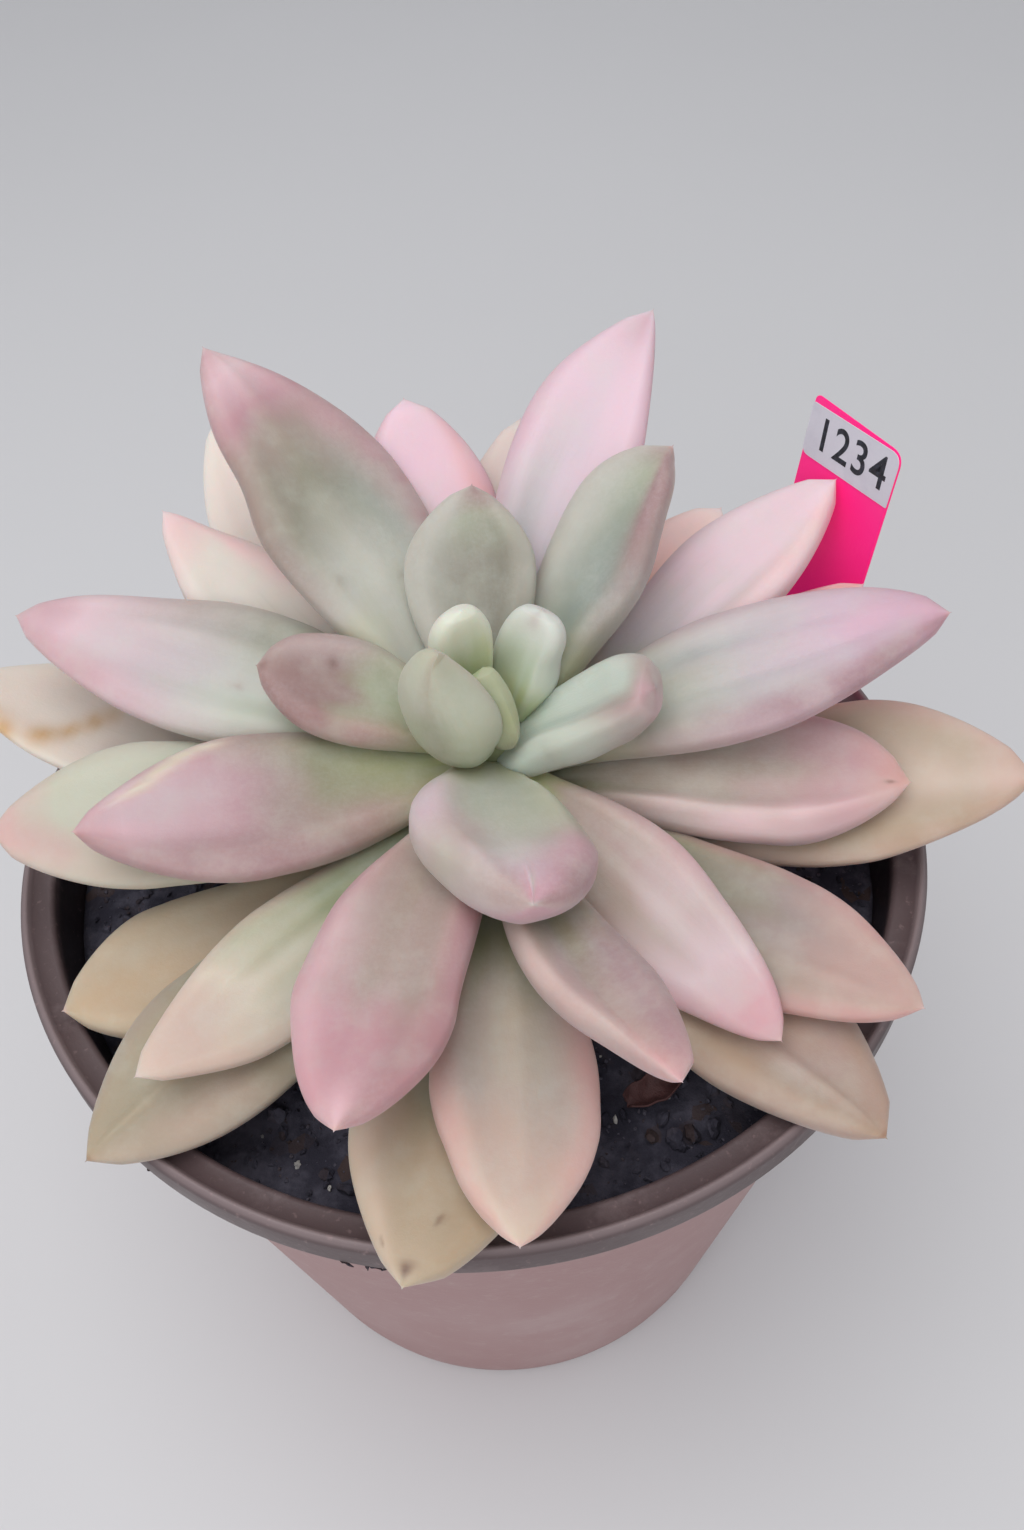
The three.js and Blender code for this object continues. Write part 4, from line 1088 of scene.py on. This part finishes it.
        OLD_SKIN, [(0, SAGE), (0.5, PEACH), (1, BLUSH)], (CORAL, 0.5, 0.6),
        swells=[(1, 0.8, 0.4, 1)],
        sway=-1, tone_and_light=(1.35, 1.15, 1.05)),
    "old_leaf_left_low": leaf_look(
        OLD_SKIN, [(0, SAGE), (0.35, SAND), (0.7, SAND), (1, SAND)], (SAND, 0.6, 0.6),
        patches=[(0.85, 0.3, 0.15, 0.5, AMBER, 0.25), (0.5, 0.0, 0.2, 0.5, CREAM, 0.3)],
        plump=0.7, tip_share=0.8, reach=-0.6, tone_and_light=(1, 0.95, 0.95)),
    "low_leaf_back_left": leaf_look(
        OLD_SKIN, [(0, SAGE), (0.4, CREAM), (1, CREAM)], (CREAM, 0.5, 0.6),
        swells=[(1, 0.8, 0.2, 1)],
        tone_and_light=(1.1, 1.15, 1.3)),
    "old_leaf_front": leaf_look(
        OLD_SKIN, [(0, SAGE), (0.5, SAGE), (0.72, SAND), (1, SAND)], (SAND, 0.7, 0.6),
        patches=[(0.7, -0.8, 0.4, 0.25, CREAM, 0.8), (0.94, -0.8, 0.008, 0.04, BROWN, 0.8),
                 (0.89, 0.3, 0.01, 0.05, BROWN, 0.6), (0.985, 0.0, 0.014, 0.3, BROWN, 1.0),
                 (0.75, 0.7, 0.3, 0.3, TAN, 0.6)],
        folds=[(0.0, 0.0, 0.2, 0.3, 0.5, 0.95)],
        swells=[(1, 0.9, 0.3, 1)],
        tip=TAN, plump=0.8, tip_share=0.8, reach=-0.3, sway=0.4, tone_and_light=(0.9, 0.85, 0.85)),
    "old_leaf_right_back": leaf_look(
        OLD_SKIN, [(0, CREAM), (0.6, CORAL), (1, CORAL)], (BLUSH, 0.5, 0.6),
        reach=0.5),
    "old_leaf_left": leaf_look(
        OLD_SKIN, [(0, SAGE), (0.5, CREAM), (1, CREAM)], (CREAM, 0.4, 0.6),
        patches=[(0.85, 0.95, 0.03, 0.2, AMBER, 0.9), (0.78, 0.7, 0.025, 0.2, AMBER, 0.9),
                 (0.75, 0.45, 0.02, 0.2, AMBER, 0.9), (0.72, 0.15, 0.02, 0.2, AMBER, 0.8),
                 (0.69, -0.1, 0.02, 0.2, AMBER, 0.6), (0.93, 0.8, 0.06, 0.3, AMBER, 0.7),
                 (0.62, 0.5, 0.03, 0.2, DUSK, 0.7), (0.55, 0.7, 0.03, 0.2, DUSK, 0.6)],
        folds=[(2.4, -2.1, 0.1, -0.5, 0.4, 1.0)],
        swells=[(1, 0.6, 0.15, 1), (1, 0.9, 0.1, -1), (-1, 0.8, 0.3, 1.5)],
        plump=0.2, wave=2.2, tone_and_light=(1, 1.05, 1.15)),
    "old_leaf_right_front": leaf_look(
        OLD_SKIN, [(0, SAGE), (0.5, SAND), (0.85, DUSK), (1, TAN)], (DUSK, 0.5, 0.6),
        patches=[(0.6, 0.4, 0.3, 0.4, PEACH, 0.5), (0.7, -0.7, 0.3, 0.3, SAND, 0.7)],
        folds=[(-0.5, -0.2, 0.12, 0.5, 0.2, 1.0)],
        swells=[(1, 1, 0.4, 1)],
        tip=BROWN, plump=0.7, tip_share=0.8, tone_and_light=(0.9, 0.8, 0.8)),
}

for seed, (name, look) in enumerate(LEAF_LOOKS.items()):
    leaf = leaf_blade(name, look)
    colour_leaf(leaf, look, seed)
    leaf.data.materials.append(look["skin"])
    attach(leaf, "root")
    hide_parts(name)


# The dry scrap: a piece of dead leaf lying loose on the soil. It has dried thin and red-brown, its
# outline is broken, and its edges have curled up.
SCRAP_LOW, SCRAP_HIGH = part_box("dry_leaf_scrap")
SCRAP_LONG = 8.4 * MM
SCRAP_WIDE = 4.2 * MM
SCRAP_SHIFT = Vector((-0.8, 1.0, 0)) * MM
SCRAP_TURN = math.radians(25)
SCRAP_RED = (0.13, 0.050, 0.048, 1)
SCRAP_DARK = (0.055, 0.025, 0.025, 1)
SCRAP_THICK = 0.25 * MM
SCRAP_CURL_WIDE = 1.3 * MM
SCRAP_CURL_LONG = 0.9 * MM
SCRAP_CREASES = 0.55 * MM
SCRAP_CREASE_SIZE = 2.2 * MM
SCRAP_ROWS, SCRAP_COLUMNS = 40, 22


def curled_scrap():
    """A thin curled sheet with a broken outline."""
    middle = (SCRAP_LOW + SCRAP_HIGH) / 2 + SCRAP_SHIFT
    turn = Matrix.Rotation(SCRAP_TURN, 3, "Z")
    vertices, faces = [], []
    for i in range(SCRAP_ROWS + 1):
        for j in range(SCRAP_COLUMNS + 1):
            p, q = i / SCRAP_ROWS * 2 - 1, j / SCRAP_COLUMNS * 2 - 1
            ragged = 1 + 0.22 * noise.noise(Vector((p * 2.2, math.copysign(1, q), 3.0)))
            x = p * SCRAP_LONG / 2 * (1 + 0.10 * noise.noise(Vector((q * 2.5, p, 8.0))))
            y = q * SCRAP_WIDE / 2 * ragged * math.sqrt(max(0.06, 1 - p * p * 0.85))
            curl = SCRAP_CURL_WIDE * q * q + SCRAP_CURL_LONG * p * p * (1 if p > 0 else 0.3)
            crease = SCRAP_CREASES * noise.noise(Vector((x, y, 0)) / SCRAP_CREASE_SIZE)
            vertices.append(middle + turn @ Vector((x, y, curl + crease - SCRAP_CURL_LONG)))
    for i in range(SCRAP_ROWS):
        for j in range(SCRAP_COLUMNS):
            a = i * (SCRAP_COLUMNS + 1) + j
            faces.append((a, a + SCRAP_COLUMNS + 1, a + SCRAP_COLUMNS + 2, a + 1))
    sheet = mesh_piece("dry_scrap_curl", vertices, faces)
    thickness = sheet.modifiers.new("thickness", "SOLIDIFY")
    thickness.thickness = SCRAP_THICK
    bpy.context.view_layer.objects.active = sheet
    bpy.ops.object.modifier_apply(modifier=thickness.name)
    return sheet


scrap = curled_scrap()
scrap_finish, tree, shader = new_finish("dry_leaf", 0.7)
where = places(tree)
wrinkles = cloudy(tree, where, 500.0, 5.0, 0.7)
tree.links.new(tint(tree, wrinkles, SCRAP_DARK, SCRAP_RED), shader.inputs["Base Color"])
raise_bumps(tree, shader, wrinkles, 0.4 * MM)
scrap.data.materials.append(scrap_finish)
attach(scrap, "root")
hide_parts("dry_leaf_scrap")


# The plant label: a strip of thin, bright pink plastic sheet, cut to a point at its foot and
# pushed into the soil at the back right. It leans away from the plant by a few degrees.
LABEL_PINK = (1.0, 0.010, 0.20, 1)
LABEL_PINK_LIT = (1.0, 0.030, 0.28, 1)
LABEL_PAINTED_GLOW = 0.18
SHEET_SOFTNESS = 0.3  # width of a sheet's softened edge as a share of its thickness
LABEL_THICK = 0.45 * MM
LABEL_CORNERS = (1.2 * MM, 2.4 * MM)
LABEL_SHOULDER = 12 * MM
LABEL_SHOULDER_ROUNDING = 3 * MM
LABEL_POINT = 1 * MM
LABEL_POINT_ROUNDING = 0.6 * MM


def flat_frame(node):
    """Middle, across, up and outward directions of a flat node, with outward facing the front."""
    points = np.unique(np.round([v.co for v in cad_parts[node].data.vertices], 6), axis=0)
    middle = points.mean(0)
    _, _, axes = np.linalg.svd(points - middle)
    up, out = Vector(axes[1]), Vector(axes[2])
    up = up if up.z > 0 else -up
    out = out if out.y < 0 else -out
    return Vector(middle), up.cross(out), up, out


def rounded(corners, radii, steps=8):
    """The corners' outline with each corner rounded off."""
    outline = []
    for i, (x, y) in enumerate(corners):
        corner = Vector((x, y))
        before = (Vector(corners[i - 1]) - corner).normalized()
        after = (Vector(corners[(i + 1) % len(corners)]) - corner).normalized()
        for k in range(steps + 1):
            t = k / steps
            start, end = corner + before * radii[i], corner + after * radii[i]
            outline.append((1 - t) ** 2 * start + 2 * t * (1 - t) * corner + t * t * end)
    return outline


def stiff_sheet(name, outline, thick, stand):
    """A flat sheet with softened edges, cut to outline and stood by the matrix stand."""
    sheet = bmesh.new()
    face = sheet.faces.new([sheet.verts.new((p.x, p.y, 0)) for p in outline])
    front = bmesh.ops.extrude_face_region(sheet, geom=[face])["geom"]
    front_points = [v for v in front if isinstance(v, bmesh.types.BMVert)]
    bmesh.ops.translate(sheet, vec=(0, 0, thick), verts=front_points)
    bmesh.ops.recalc_face_normals(sheet, faces=sheet.faces)
    rims = [e for e in sheet.edges if abs(e.verts[0].co.z - e.verts[1].co.z) < 1e-9]
    bmesh.ops.bevel(sheet, geom=rims, offset=thick * SHEET_SOFTNESS, segments=2, affect="EDGES")
    bmesh.ops.triangulate(sheet, faces=[f for f in sheet.faces if len(f.verts) > 4])
    mesh = bpy.data.meshes.new(name)
    sheet.to_mesh(mesh)
    sheet.free()
    mesh.transform(stand)
    piece = bpy.data.objects.new(name, mesh)
    scene.collection.objects.link(piece)
    return piece


sticker_middle, label_across, label_up, label_out = flat_frame("label_sticker")
label_axes = np.array((label_across, label_up, label_out))
label_points = np.array([v.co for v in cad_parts["label"].data.vertices])
label_points = (label_points - np.array(sticker_middle)) @ label_axes.T
LABEL_LEFT, LABEL_FOOT, _ = label_points.min(0)
LABEL_RIGHT, LABEL_TOP, LABEL_FACE = label_points.max(0)
turn = Matrix((label_across, label_up, label_out)).transposed().to_4x4()
label_stand = Matrix.Translation(sticker_middle + label_out * (LABEL_FACE - LABEL_THICK)) @ turn
middle_line = (LABEL_LEFT + LABEL_RIGHT) / 2
label_corners = [
    (LABEL_LEFT, LABEL_TOP), (LABEL_RIGHT, LABEL_TOP), (LABEL_RIGHT, LABEL_FOOT + LABEL_SHOULDER),
    (middle_line + LABEL_POINT, LABEL_FOOT), (middle_line - LABEL_POINT, LABEL_FOOT),
    (LABEL_LEFT, LABEL_FOOT + LABEL_SHOULDER),
]
label_roundings = (
    *LABEL_CORNERS, LABEL_SHOULDER_ROUNDING, LABEL_POINT_ROUNDING,
    LABEL_POINT_ROUNDING, LABEL_SHOULDER_ROUNDING,
)
label = stiff_sheet("label_sheet", rounded(label_corners, label_roundings), LABEL_THICK, label_stand)
label_finish, tree, shader = new_finish("label_plastic", 0.32)
where = places(tree)
# Cloudy patches of a lighter lit pink and a faint glow of the label's own are painted light, brightening it
# as if lit through the sheet.
patches = cloudy(tree, where, 60.0, 2.0)
tree.links.new(tint(tree, patches, LABEL_PINK, LABEL_PINK_LIT), shader.inputs["Base Color"])
shader.inputs["Emission Color"].default_value = LABEL_PINK_LIT
shader.inputs["Emission Strength"].default_value = LABEL_PAINTED_GLOW
raise_bumps(tree, shader, cloudy(tree, where, 1500.0, 2.0), 0.03 * MM)
label.data.materials.append(label_finish)
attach(label, "root")
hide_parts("label")


# The sticker: a pale paper rectangle stuck a little askew across the label's top, with its corners
# worn round. Four plain digits are printed on it in black ink that has worn a little.
STICKER_PAPER = (0.72, 0.71, 0.78, 1)
STICKER_PAPER_SHADE = (0.60, 0.585, 0.67, 1)
STICKER_THICK = 0.12 * MM
STICKER_LIFT = 0.02 * MM
STICKER_HEIGHT = 8.6 * MM
STICKER_TOP_GAPS = (1.2 * MM, 0.12 * MM)
STICKER_SIDE_GAP = 0.03 * MM
STICKER_CORNERS = (0.5 * MM, 2.2 * MM, 0.3 * MM, 1.6 * MM)
INK = (0.012, 0.014, 0.02, 1)
NUMBER = "1234"
NUMBER_HEIGHT = 5.2 * MM
NUMBER_WIDTH = 14.6 * MM
NUMBER_SHIFT = 0.3 * MM
DIGIT_SHARE = 0.70  # a digit's height as a share of the font's size
SPACING_GAIN = 1.25  # the last digit has no gap after it, so the gaps between take more than their share
INK_SPREAD = 0.07 * MM
INK_THICK = 0.015 * MM
INK_WORN = 3.5

sticker_stand = Matrix.Translation(sticker_middle + label_out * (LABEL_FACE + STICKER_LIFT)) @ turn
sticker_left, sticker_right = LABEL_LEFT + STICKER_SIDE_GAP, LABEL_RIGHT - STICKER_SIDE_GAP
left_top, right_top = (LABEL_TOP - gap for gap in STICKER_TOP_GAPS)
sticker_corners = [
    (sticker_left, left_top), (sticker_right, right_top),
    (sticker_right, right_top - STICKER_HEIGHT), (sticker_left, left_top - STICKER_HEIGHT),
]
sticker_outline = rounded(sticker_corners, STICKER_CORNERS)
sticker = stiff_sheet("sticker_sheet", sticker_outline, STICKER_THICK, sticker_stand)
sticker_finish, tree, shader = new_finish("sticker_paper", 0.55)
where = places(tree)
fibre = cloudy(tree, where, 2500.0, 4.0)
# The paper turns darker in cloudy blotches and along its fibres.
darker_blotches = between(tree, cloudy(tree, where, 220.0, 3.0), 0.45, 0.75, 0.0, 0.5)
paper = tint(tree, darker_blotches, STICKER_PAPER, STICKER_PAPER_SHADE)
fibrous = tint(tree, work_out(tree, "MULTIPLY", fibre, 0.3), paper, STICKER_PAPER_SHADE)
tree.links.new(fibrous, shader.inputs["Base Color"])
raise_bumps(tree, shader, fibre, 0.02 * MM)
sticker.data.materials.append(sticker_finish)
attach(sticker, "root")
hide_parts("label_sticker")

digits = bpy.data.objects.new("label_number", bpy.data.curves.new("label_number", "FONT"))
scene.collection.objects.link(digits)
digits.data.body = NUMBER
digits.data.size = NUMBER_HEIGHT / DIGIT_SHARE
digits.data.offset = INK_SPREAD
digits.data.extrude = INK_THICK
digits.data.align_x = "CENTER"
digits.data.align_y = "CENTER"
bpy.context.view_layer.update()
digits.data.space_character = 1 + (NUMBER_WIDTH / digits.dimensions.x - 1) * SPACING_GAIN
number_up = (left_top + right_top - STICKER_HEIGHT) / 2
skew = Matrix.Rotation(math.atan2(right_top - left_top, LABEL_RIGHT - LABEL_LEFT), 4, "Z")
on_sticker = Matrix.Translation((middle_line + NUMBER_SHIFT, number_up, STICKER_THICK + INK_THICK))
digits.matrix_world = sticker_stand @ on_sticker @ skew
ink, tree, shader = new_finish("ink", 0.5)
paler_marks = between(tree, cloudy(tree, places(tree), 900.0, 3.0), 0.35, 0.75)
worn_ink = tuple(c * INK_WORN for c in INK[:3]) + (1,)
tree.links.new(tint(tree, paler_marks, INK, worn_ink), shader.inputs["Base Color"])
digits.data.materials.append(ink)
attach(digits, "root")
